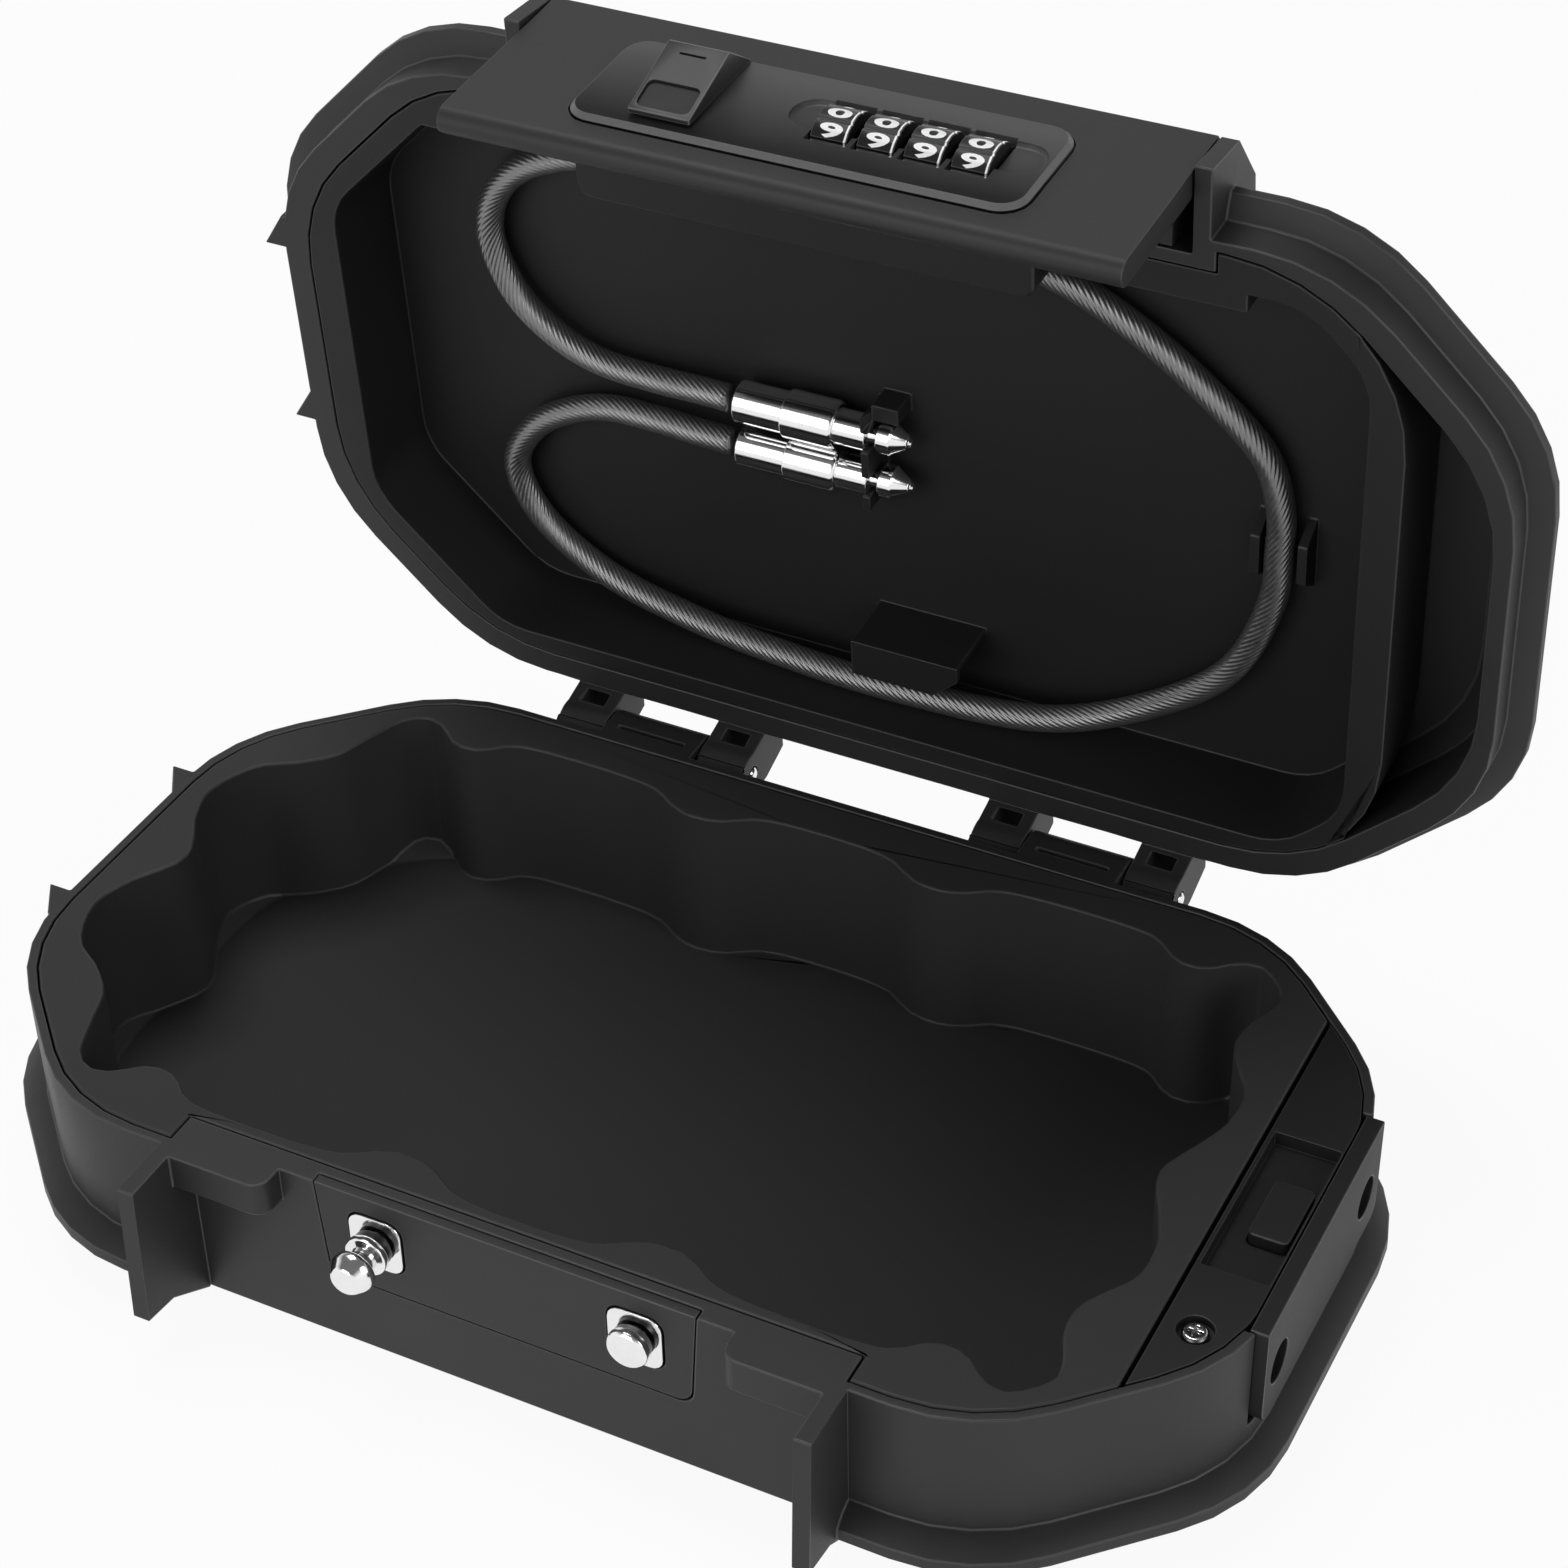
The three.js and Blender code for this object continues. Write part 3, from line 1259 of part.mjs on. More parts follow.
// Cover box behind the lock, open toward the front wall
function innerLockCover() {
  const rear = frontY + trayStepFront + seatGap;
  const edge = rear + innerCoverReach;
  const low = lidRim + seatGap;
  const outline = rounded([
    [innerCoverStart, rear], [innerCoverEnd, rear], [innerCoverEnd, edge], [innerCoverStart, edge],
  ], [0, 0, innerCoverCorner, innerCoverCorner]);
  const inside = block(innerCoverStart + innerCoverWall, innerCoverEnd - innerCoverWall,
    rear - overrun, edge - innerCoverWall, low + innerCoverWall, low + innerCoverDepth - innerCoverWall);
  return cut(alongZ(outline, low, low + innerCoverDepth), inside);
}

// Tether cable: one loop round the tray from plug to plug
// The cable's heights are counted from the tray floor, which it lies under when the box is shut
const cableRoute = [
  [-33.3, -1.3, -5.1], [-41, -1.2, -4.8], [-49.3, -0.6, -4.1], [-62.2, -1.2, -3.6],
  [-70.5, -4.6, -3.6], [-78.4, -11.5, -3.6], [-82.6, -20.8, -3.6], [-83, -27.2, -3.6],
  [-80.4, -34.4, -3.6], [-75, -40.3, -3.6], [-66, -44.8, -3.6], [-50, -48.4, -3.6],
  [-25, -50, -3.6], [5, -49.2, -3.6], [32.6, -43.4, -3.6], [45.6, -37.4, -3.6],
  [58.7, -28.4, -3.6], [71.4, -16, -3.6], [74.6, -5, -3.6], [74.6, 3, -3.6],
  [73.8, 14.5, -3.6], [66, 33.5, -3.8], [48.6, 47.4, -4.8], [30.5, 54, -7.2],
  [0, 55.1, -9], [-22.9, 55, -8.2], [-45, 54.2, -6], [-66, 50, -4],
  [-79.6, 39.7, -3.6], [-83.4, 28.3, -3.6], [-77.1, 17.4, -3.6], [-63.5, 10, -3.6],
  [-50, 8.8, -4.1], [-41, 8.7, -4.8], [-33.3, 8.7, -5.1],
];

function tetherCable() {
  const points = cableRoute.map(([x, y, z]) => new THREE.Vector3(x, y, z));
  const route = new THREE.CatmullRomCurve3(points, false, 'centripetal');
  return tube(route, cableRadius, cableSides, cableSteps);
}

function plug(y) {
  const bodyStart = crimpLength;
  const shaftStart = bodyStart + plugBodyLength;
  const neckStart = shaftStart + plugShaftLength;
  const capStart = neckStart + plugNeckLength;
  const noseStart = capStart + plugCapLength;
  return turned([
    [0, 0], [crimpRadius - plugEdge, 0], [crimpRadius, plugEdge], [crimpRadius, bodyStart],
    [plugBodyRadius, bodyStart + plugEdge], [plugBodyRadius, shaftStart - plugEdge],
    [plugBodyRadius - plugEdge, shaftStart], [plugShaftRadius, shaftStart],
    [plugShaftRadius, neckStart], [plugNeckRadius, neckStart], [plugNeckRadius, capStart],
    [plugCapRadius, capStart], [plugCapRadius, noseStart - plugNoseLength / 2],
    [plugNoseRadius, noseStart + plugNoseLength], [0, noseStart + plugNoseLength],
  ], towardRight, plugStart, y, plugZ, plugSides);
}

// Assembly: the base stands on the ground, the lid group swings about the hinge axis, the
// lock group hangs at the rim's height and the cable lies against the tray floor
const safe = new THREE.Group();
const base = new THREE.Group();
const lidSwing = new THREE.Group();
const lid = new THREE.Group();
const lock = new THREE.Group();
const cable = new THREE.Group();
lidSwing.position.set(0, hingeY, hingeZ);
lidSwing.rotation.x = -THREE.MathUtils.degToRad(openAngle);
lid.position.set(0, -hingeY, -hingeZ);
lock.position.z = rimHeight;
cable.position.z = trayFloorZ;
lidSwing.add(lid);
lid.add(lock, cable);
safe.add(base, lidSwing);

base.add(
  meshOf('base_shell', baseShell(), wallBlack),
  meshOf('base_liner', baseLiner(), linerBlack),
  meshOf('strike_plate', strikePlate(), wallBlack),
  meshOf('stud_washer_left', studWasher(-1), brightSteel),
  meshOf('stud_washer_right', studWasher(1), brightSteel),
  meshOf('stud_left', stud(-1), brightSteel),
  meshOf('stud_right', stud(1), brightSteel),
  meshOf('cable_lock_cover', cableLockCover(), coverBlack),
  meshOf('cover_screw', coverScrew(), dullSteel),
  meshOf('socket_plate', socketPlate(), wallBlack),
  meshOf('cable_lock_body', cableLockBody(), trayBlack),
  meshOf('release_button', releaseButton(), coverBlack),
  meshOf('cable_catch_plate', catchPlate(), dullSteel),
  meshOf('button_spring', buttonSpring(), dullSteel),
  meshOf('hinge_pin_left', hingePin(-1), brightSteel),
  meshOf('hinge_pin_right', hingePin(1), brightSteel),
);

lid.add(
  meshOf('lid_shell', lidShell(), wallBlack),
  meshOf('lid_tray', lidTray(), trayBlack),
  meshOf('inner_lock_cover', innerLockCover(), trayBlack),
  meshOf('cable_plug_1', plug(plugLowY), brightSteel),
  meshOf('cable_plug_2', plug(plugHighY), brightSteel),
);

cable.add(meshOf('tether_cable', tetherCable(), cableGrey));

lock.add(
  meshOf('lock_housing', lockHousing(), wallBlack),
  meshOf('lock_panel', lockPanel(), coverBlack),
  meshOf('lock_back_cover', lockBackCover(), trayBlack),
  meshOf('slide_button', slideButton(), wallBlack),
  meshOf('slide_carrier', slideCarrier(), dullSteel),
  meshOf('latch_plate', latchPlate(), dullSteel),
  meshOf('dial_spindle', dialSpindle(), dullSteel),
  meshOf('dial_detent_spring', detentSpring(), dullSteel),
  ...dialPlaces().map((_, i) => meshOf(`dial_${i + 1}`, dial(i), dialBlack)),
  ...backScrewPlaces.map(([x, z], i) =>
    meshOf(`back_cover_screw_${i + 1}`, backCoverScrew(x, z), dullSteel)),
);

export default safe;
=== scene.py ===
import math

import bpy
from mathutils import Matrix, Vector


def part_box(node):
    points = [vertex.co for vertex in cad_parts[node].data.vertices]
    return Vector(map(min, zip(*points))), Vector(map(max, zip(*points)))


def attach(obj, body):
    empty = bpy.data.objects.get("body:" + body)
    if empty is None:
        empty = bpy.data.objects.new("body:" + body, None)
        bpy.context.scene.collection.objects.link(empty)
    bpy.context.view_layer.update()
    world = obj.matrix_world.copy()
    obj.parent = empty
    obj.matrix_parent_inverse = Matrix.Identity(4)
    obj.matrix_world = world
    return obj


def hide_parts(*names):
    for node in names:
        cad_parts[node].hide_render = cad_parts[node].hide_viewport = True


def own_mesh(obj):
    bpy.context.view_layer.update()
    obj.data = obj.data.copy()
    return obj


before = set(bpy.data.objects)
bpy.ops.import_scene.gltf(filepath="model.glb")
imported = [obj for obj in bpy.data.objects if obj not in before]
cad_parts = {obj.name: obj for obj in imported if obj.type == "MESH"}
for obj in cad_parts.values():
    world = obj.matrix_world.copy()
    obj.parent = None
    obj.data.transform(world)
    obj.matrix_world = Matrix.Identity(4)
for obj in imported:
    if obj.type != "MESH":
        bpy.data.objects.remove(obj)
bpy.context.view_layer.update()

# The studio: a white floor under a white sky, with soft lamps in front, above and at the right.
# The camera looks down on the right front of the open box, as in the picture of it.
mm = 0.001
camera_place = Vector((237.85, -416.48, 458.18)) * mm
camera_turn = (52.4273, 0.9743, 26.7292)
camera_sensor, camera_lens = 36.0, 82.079
floor_size, floor_drop = 12.0, 0.2 * mm
floor_glow = 0.93
paper_grey = (0.86, 0.86, 0.86, 1.0)
white = (1.0, 1.0, 1.0, 1.0)
lamp_target = Vector((0.0, 0.0, 0.06))
scene = bpy.context.scene
scene.view_settings.view_transform = "Standard"
camera_data = bpy.data.cameras.new("studio_camera")
camera_data.sensor_width = camera_sensor
camera_data.lens = camera_lens
camera = bpy.data.objects.new("studio_camera", camera_data)
scene.collection.objects.link(camera)
camera.location = camera_place
camera.rotation_euler = [math.radians(turn) for turn in camera_turn]
scene.camera = camera


class Wire:
    """A shader socket that can be reckoned with: numbers and other wires add their nodes to it."""

    def __init__(self, tree, socket=None):
        self.tree = tree
        self.socket = socket

    def node(self, kind, settings=None, sockets=None, output=0):
        made = self.tree.nodes.new("ShaderNode" + kind)
        for name, value in (settings or {}).items():
            if name == "stops":
                stops = made.color_ramp.elements
                while len(stops) < len(value):
                    stops.new(1.0)
                for stop, (place, shade) in zip(stops, value):
                    stop.position = place
                    stop.color = (shade, shade, shade, 1.0)
            else:
                setattr(made, name, value)
        for name, value in (sockets or {}).items():
            if isinstance(value, Wire):
                self.tree.links.new(value.socket, made.inputs[name])
            else:
                made.inputs[name].default_value = value
        return Wire(self.tree, made.outputs[output] if made.outputs else None)

    def reckon(self, operation, first, second=0.0):
        return self.node("Math", {"operation": operation}, {0: first, 1: second})

    def __add__(self, other):
        return self.reckon("ADD", self, other)

    def __sub__(self, other):
        return self.reckon("SUBTRACT", self, other)

    def __mul__(self, other):
        return self.reckon("MULTIPLY", self, other)

    __radd__ = __add__
    __rmul__ = __mul__

    def __rsub__(self, other):
        return self.reckon("SUBTRACT", other, self)

    def colour(self, dark, light):
        """Runs from one grey to another as the wire goes from 0 to 1."""
        ends = {0: self, 6: (dark, dark, dark, 1.0), 7: (light, light, light, 1.0)}
        return self.node("Mix", {"data_type": "RGBA"}, ends, output=2)


def blank(made):
    """Empties a material's or world's nodes and gives the wire that its nodes start from."""
    made.use_nodes = True
    made.node_tree.nodes.clear()
    return Wire(made.node_tree)


def seen_ray(start):
    """1 for what the camera, a reflection or clear plastic sees, and 0 for light."""
    camera_ray = start.node("LightPath")
    glossy_ray = start.node("LightPath", output="Is Glossy Ray")
    clear_ray = start.node("LightPath", output="Is Transmission Ray")
    return start.reckon("MAXIMUM", start.reckon("MAXIMUM", camera_ray, glossy_ray), clear_ray)


# The sky is white near the floor and greyer overhead, and lights less than it shows.
sky_light = 0.45
dome_stops = [(0.30, 1.0), (0.62, 0.16)]
sky = bpy.data.worlds.new("white_sky")
scene.world = sky
start = blank(sky)
facing = start.node("TexCoord", output="Generated")
height = start.node("SeparateXYZ", {}, {"Vector": facing}, output="Z")
dome = start.node("ValToRGB", {"stops": dome_stops}, {"Fac": height})
strength = dome * (seen_ray(start) * (1.0 - sky_light) + sky_light)
shine = start.node("Background", {}, {"Color": white, "Strength": strength})
start.node("OutputWorld", {}, {"Surface": shine})

bpy.ops.object.select_all(action="DESELECT")
bpy.ops.mesh.primitive_plane_add(size=floor_size, location=(0.0, 0.0, -floor_drop))
floor = bpy.context.object
floor.name = "studio_floor"
paper = bpy.data.materials.new("white_paper")
start = blank(paper)
matt = start.node("BsdfDiffuse", {}, {"Color": paper_grey})
glow = start.node("Emission", {}, {"Color": white, "Strength": 1.0})
mixed = start.node("MixShader", {}, {0: seen_ray(start) * floor_glow, 1: matt, 2: glow})
start.node("OutputMaterial", {}, {"Surface": mixed})
floor.data.materials.append(paper)

# Each lamp has its place, its width and its power, and faces the middle of the box.
lamps = [
    ("front_lamp", (-0.35, -1.5, 0.75), 1.2, 9.0),
    ("top_lamp", (-0.45, 0.35, 1.7), 0.9, 14.0),
    ("right_lamp", (1.5, -0.3, 0.8), 0.9, 7.0),
]
for name, place, size, power in lamps:
    lamp = bpy.data.lights.new(name, "AREA")
    lamp.size = size
    lamp.energy = power
    holder = bpy.data.objects.new(name, lamp)
    scene.collection.objects.link(holder)
    holder.location = place
    holder.rotation_euler = (lamp_target - Vector(place)).to_track_quat("-Z", "Y").to_euler()


# Base shell: one black ABS moulding with its skirt, the bay for the lock flap between two
# fences, the fins and the hinge lugs. Its edges are rounded by the mould and painted lighter,
# partly as rubbing and partly as a painted highlight.
cloud_size, speck_size, spark_grain = 28 * mm, 1.3 * mm, 0.4 * mm
cloud_share = 0.65
cloud_dulling, spark_dulling = 0.16, 0.12
spark_depth = 0.010 * mm
shell_edge = 0.3 * mm
merge_reach = 0.004 * mm
flat_angle = math.radians(0.6)
smooth_angle = math.radians(38)


def moulded_plastic(name, shade, roughness, shine=0.35, depth=spark_depth, mottle=0.10):
    """Spark-eroded black plastic: faint clouds in its colour and a fine even grain."""
    material = bpy.data.materials.new(name)
    start = blank(material)
    place = start.node("TexCoord", output="Object")
    clouds = place.node("TexNoise", {}, {"Vector": place, "Scale": 1.0 / cloud_size, "Detail": 3.0})
    specks = place.node("TexNoise", {}, {"Vector": place, "Scale": 1.0 / speck_size, "Detail": 2.0})
    spark = place.node("TexNoise", {}, {"Vector": place, "Scale": 1.0 / spark_grain, "Detail": 2.0})
    tone = clouds * cloud_share + specks * (1.0 - cloud_share)
    bump = place.node("Bump", {}, {"Height": spark, "Distance": depth})
    surface = place.node("BsdfPrincipled", {}, {
        "Base Color": tone.colour(shade * (1.0 - mottle), shade * (1.0 + mottle)),
        "Roughness": (clouds - 0.5) * cloud_dulling + (spark - 0.5) * spark_dulling + roughness,
        "Specular IOR Level": shine,
        "Normal": bump,
    })
    place.node("OutputMaterial", {}, {"Surface": surface})
    return material


def alone(piece):
    """Leaves one object selected and active, for the operators that follow."""
    bpy.ops.object.select_all(action="DESELECT")
    piece.select_set(True)
    bpy.context.view_layer.objects.active = piece


def round_edges(piece, radius, steps=3, angle=33, edge_slot=1):
    """Rounds the sharp edges of a piece; the rounded strips take its second material."""
    alone(piece)
    bevel = piece.modifiers.new("rounding", "BEVEL")
    bevel.width = radius
    bevel.segments = steps
    bevel.limit_method = "ANGLE"
    bevel.angle_limit = math.radians(angle)
    bevel.use_clamp_overlap = False
    bevel.miter_outer = "MITER_ARC"
    bevel.material = edge_slot
    bpy.ops.object.modifier_apply(modifier="rounding")
    bpy.ops.object.shade_smooth_by_angle(angle=smooth_angle)
    weigh = piece.modifiers.new("even_shading", "WEIGHTED_NORMAL")
    weigh.keep_sharp = True
    bpy.ops.object.modifier_apply(modifier="even_shading")


def merged_copy(node, name, finish, edge_finish):
    """A copy of a CAD node's mesh with its loose triangles merged and its flats cleaned."""
    piece = bpy.data.objects.new(name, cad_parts[node].data.copy())
    scene.collection.objects.link(piece)
    alone(piece)
    bpy.ops.mesh.customdata_custom_splitnormals_clear()
    bpy.ops.object.mode_set(mode="EDIT")
    bpy.ops.mesh.select_all(action="SELECT")
    bpy.ops.mesh.remove_doubles(threshold=merge_reach)
    bpy.ops.mesh.dissolve_limited(angle_limit=flat_angle)
    bpy.ops.mesh.quads_convert_to_tris(quad_method="BEAUTY", ngon_method="BEAUTY")
    bpy.ops.object.mode_set(mode="OBJECT")
    piece.data.materials.clear()
    piece.data.materials.append(finish)
    piece.data.materials.append(edge_finish)
    return piece


def moulding(node, body, finish, edge_finish, radius, steps=3):
    """Copies a CAD moulding, rounds its edges and stands it in the node's place."""
    piece = merged_copy(node, node + "_moulding", finish, edge_finish)
    round_edges(piece, radius, steps)
    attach(piece, body)
    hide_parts(node)


wall_black = moulded_plastic("wall_black", shade=0.021, roughness=0.52)
# The edge grey is lighter than the wall's: partly rubbing, partly a painted highlight on the rounded
# edges.
wall_rub_and_highlight = moulded_plastic("wall_rub_and_highlight", shade=0.050, roughness=0.38)
moulding("base_shell", "base", wall_black, wall_rub_and_highlight, radius=shell_edge)


# Liner: a soft black insert that fills the shell, with a scalloped opening so that small
# things can be picked out. It is moulded in matt rubber and pressed into the shell.
liner_black = moulded_plastic("liner_black", shade=0.026, roughness=0.66, shine=0.3, depth=0.016 * mm)
# The slightly lighter edge grey paints a highlight along the liner's rounded edges.
liner_edge = moulded_plastic("liner_edge", shade=0.030, roughness=0.5)
moulding("base_liner", "base", liner_black, liner_edge, radius=0.5 * mm)


# Strike panel: the wall of the bay behind the studs, a flush plate of the same ABS that is
# screwed on from inside, so only a thin line shows round it.
moulding("strike_plate", "base", wall_black, wall_rub_and_highlight, radius=0.2 * mm, steps=2)


# Studs: turned and chromed steel, riveted through the strike panel with a square washer
# under each. The left one has the neck that the latch grips, and the right one locates.
stud_offset, stud_height = 25.0 * mm, 28.3 * mm
collar_end = 5.45 * mm
smear_size = 5 * mm
smear_dulling, streak_dulling = 0.14, 0.08
darkest_streak, lightest_streak, whitest = 0.88, 1.08, 0.98


def bright_metal(name, shade, roughness, along=(1.0, 1.0, 1.0), scale=2.0 * mm, relief=0.004 * mm):
    """Polished steel with fine streaks along the turning or rolling marks and dull smears."""
    material = bpy.data.materials.new(name)
    start = blank(material)
    place = start.node("TexCoord", output="Object")
    drawn = place.node("Mapping", {}, {"Vector": place, "Scale": along})
    streaks = place.node("TexNoise", {}, {"Vector": drawn, "Scale": 1.0 / scale, "Detail": 4.0})
    smears = place.node("TexNoise", {}, {"Vector": place, "Scale": 1.0 / smear_size, "Detail": 3.0})
    bump = place.node("Bump", {}, {"Height": streaks, "Distance": relief})
    surface = place.node("BsdfPrincipled", {}, {
        "Base Color": (streaks * 0.5 + smears * 0.5).colour(shade * darkest_streak,
                                                            min(shade * lightest_streak, whitest)),
        "Metallic": 1.0,
        "Roughness": (smears - 0.5) * smear_dulling + (streaks - 0.5) * streak_dulling + roughness,
        "Normal": bump,
    })
    place.node("OutputMaterial", {}, {"Surface": surface})
    return material


def turned(name, foot, axis, profile, finish, sides=48):
    """Turns a round piece on the lathe: each (distance, radius) is one extrude and one resize."""
    axis = Vector(axis)
    lean = Vector((0.0, 0.0, 1.0)).rotation_difference(axis).to_euler()
    bpy.ops.object.select_all(action="DESELECT")
    low, before = profile[0]
    bpy.ops.mesh.primitive_circle_add(vertices=sides, radius=before, fill_type="NGON",
                                      location=foot + axis * low, rotation=lean)
    piece = bpy.context.object
    piece.name = name
    bpy.ops.object.transform_apply(location=True, rotation=True, scale=True)
    bpy.ops.object.mode_set(mode="EDIT")
    bpy.ops.mesh.select_all(action="SELECT")
    bpy.ops.mesh.flip_normals()
    for distance, radius in profile[1:]:
        bpy.ops.mesh.extrude_region_move(TRANSFORM_OT_translate={"value": axis * (distance - low)})
        growth = radius / before
        scale = [1.0 if abs(part) > 0.5 else growth for part in axis]
        bpy.ops.transform.resize(value=scale, center_override=foot + axis * distance)
        low, before = distance, radius
    bpy.ops.mesh.select_all(action="SELECT")
    bpy.ops.mesh.normals_make_consistent(inside=False)
    bpy.ops.object.mode_set(mode="OBJECT")
    piece.data.materials.append(finish)
    piece.data.materials.append(finish)
    return piece


bright_steel = bright_metal("bright_steel", shade=0.86, roughness=0.13)
collar_steel = bright_metal("collar_steel", shade=0.07, roughness=0.3, along=(1.0, 0.2, 1.0),
                            scale=0.8 * mm, relief=0.02 * mm)
for node in ("stud_washer_left", "stud_washer_right"):
    moulding(node, "base", bright_steel, bright_steel, radius=0.3 * mm, steps=2)
latch_profile = [
    (0.0, 2.5), (3.9, 2.5), (3.9, 3.65), (5.4, 3.65), (5.5, 3.45), (5.6, 4.0), (6.7, 4.0),
    (6.9, 3.6), (7.0, 2.4), (9.4, 2.4), (9.5, 3.3), (9.8, 4.0), (10.4, 4.15), (11.3, 4.1),
    (12.0, 3.6), (13.0, 3.0), (13.4, 2.6), (13.4, 0.05),
]
locating_profile = [
    (0.0, 2.5), (3.9, 2.5), (3.9, 3.65), (4.9, 3.65), (5.0, 3.9), (6.2, 3.9), (6.7, 3.4), (6.7, 0.05),
]
for side, profile, node in ((-1, latch_profile, "stud_left"), (1, locating_profile, "stud_right")):
    foot = Vector((side * stud_offset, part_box(node)[1][1], stud_height))
    stud = turned(node + "_turned", foot, (0.0, -1.0, 0.0),
                  [(distance * mm, radius * mm) for distance, radius in profile], bright_steel)
    round_edges(stud, 0.12 * mm, steps=2)
    stud.data.materials.append(collar_steel)
    for face in stud.data.polygons:
        if foot.y - face.center.y < collar_end:
            face.material_index = 2
    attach(stud, "base")
    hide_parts(node)


# Cable lock cover: the flush plate over the right end of the base, with a dished recess for
# the release button. It is held by one screw in a counterbore.
cover_black = moulded_plastic("cover_black", shade=0.012, roughness=0.5, shine=0.25)
# The lighter edge grey is partly wear and partly a painted highlight on the rounded edges.
cover_edge = moulded_plastic("cover_edge", shade=0.032, roughness=0.4)
moulding("cable_lock_cover", "base", cover_black, cover_edge, radius=0.16 * mm, steps=2)
dull_steel = bright_metal("dull_steel", shade=0.42, roughness=0.34, relief=0.008 * mm)
dark_steel = bright_metal("dark_steel", shade=0.16, roughness=0.28, relief=0.008 * mm)
moulding("cover_screw", "base", dark_steel, bright_steel, radius=0.12 * mm, steps=2)


# Side plate: the outer face of the cable lock, a black ABS moulding clipped to the right end
# of the base, with the mouths of the two round sockets that the plugs go into.
socket_offset, socket_height = 21.1 * mm, 25.8 * mm
mouth_reach = 6.6 * mm
mouth_share = 0.61
plate_black = moulded_plastic("plate_black", shade=0.010, roughness=0.55, shine=0.25)
socket_plate = merged_copy("socket_plate", "socket_plate_moulding", plate_black, wall_rub_and_highlight)
for vertex in socket_plate.data.vertices:
    for side in (-1, 1):
        spoke = vertex.co - Vector((vertex.co.x, side * socket_offset, socket_height))
        if spoke.length < mouth_reach:
            vertex.co -= spoke * (1.0 - mouth_share)
round_edges(socket_plate, 0.25 * mm, steps=2)
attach(socket_plate, "base")
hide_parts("socket_plate")


# Hidden works: the body of the cable lock and the back cover of the lid's lock in black ABS,
# and the stamped and turned steel parts that they hold. They keep the shapes of the CAD.
tray_black = moulded_plastic("tray_black", shade=0.0105, roughness=0.6, shine=0.3, depth=0.014 * mm)
hidden_works = [
    (tray_black, ["cable_lock_body", "lock_back_cover"]),
    (dull_steel, ["cable_catch_plate", "slide_carrier", "latch_plate", "dial_spindle",
                  "dial_detent_spring", *[f"back_cover_screw_{index + 1}" for index in range(4)]]),
]
for finish, nodes in hidden_works:
    for node in nodes:
        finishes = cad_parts[node].data.materials
        finishes.clear()
        finishes.append(finish)


# Release button: a small ABS moulding in the dished recess of the cover. It stands on the
# catch plate inside, and a finger presses it down to free the plugs.
moulding("release_button", "release", cover_black, cover_edge, radius=0.25 * mm)


# Button spring: a coil of steel wire that pushes the catch plate and the release button back
# up. It is wound on a mandrel and stands in a round well of the lock body.
spring_low, spring_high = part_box("button_spring")
wire_radius = 0.4 * mm
wire_sides = 12
coil_radius = (spring_high[0] - spring_low[0]) / 2 - wire_radius
coil_turns = 5
turn_steps = 32
bpy.ops.object.select_all(action="DESELECT")
bpy.ops.mesh.primitive_circle_add(vertices=wire_sides, radius=wire_radius, fill_type="NGON",
                                  location=(coil_radius, 0.0, wire_radius),
                                  rotation=(math.pi / 2, 0.0, 0.0))
spring = bpy.context.object
spring.name = "release_spring"
bpy.ops.object.transform_apply(location=True, rotation=True, scale=True)
winding = spring.modifiers.new("winding", "SCREW")
winding.steps = turn_steps
winding.render_steps = turn_steps
winding.iterations = coil_turns
winding.screw_offset = (spring_high[2] - spring_low[2] - 2 * wire_radius) / coil_turns
bpy.ops.object.modifier_apply(modifier="winding")
bpy.ops.object.mode_set(mode="EDIT")
bpy.ops.mesh.select_all(action="SELECT")
bpy.ops.mesh.remove_doubles(threshold=merge_reach)
bpy.ops.mesh.normals_make_consistent(inside=False)
bpy.ops.object.mode_set(mode="OBJECT")
spring.location = ((spring_low[0] + spring_high[0]) / 2, 0.0, spring_low[2])
bpy.ops.object.transform_apply(location=True, rotation=True, scale=True)
bpy.ops.object.shade_smooth_by_angle(angle=smooth_angle)
spring.data.materials.append(dull_steel)
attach(spring, "base")
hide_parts("button_spring")
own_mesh(spring)


# Hinge pins: two lengths of chromed steel rod with domed ends. They are pressed into the lugs
# of the base, and the arms of the lid turn on them.
dome_length, dome_radius = 0.3, 0.6
for node in ("hinge_pin_left", "hinge_pin_right"):
    low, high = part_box(node)
    middle = [(a + b) / 2 for a, b in zip(low, high)]
    length = high[0] - low[0]
    radius = (high[2] - low[2]) / 2
    pin = turned(node + "_turned", Vector((low[0], middle[1], middle[2])), (1.0, 0.0, 0.0),
                 [(0.0, radius * dome_radius), (radius * dome_length, radius),
                  (length - radius * dome_length, radius), (length, radius * dome_radius)],
                 bright_steel, sides=32)
    round_edges(pin, 0.1 * mm, steps=2)
    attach(pin, "base")
    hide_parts(node)


# Lid: a crowned ABS shell with the hinge arms on its back edge, and a darker tray moulded
# to hold the cable, clipped into it. The tray's hook, prongs and holder grip the cable.
hinge_line = Vector((0.0, 74.1, 32.9)) * mm
open_angle = math.radians(85.6)
swing = (Matrix.Translation(hinge_line) @ Matrix.Rotation(-open_angle, 4, "X")
         @ Matrix.Translation(-hinge_line))
stop_left, stop_right = -4.0 * mm, 2.0 * mm
stop_front, stop_back = -9.0 * mm, -4.7 * mm
stop_top = 50.6 * mm
moulding("lid_shell", "lid", wall_black, wall_rub_and_highlight, radius=shell_edge)
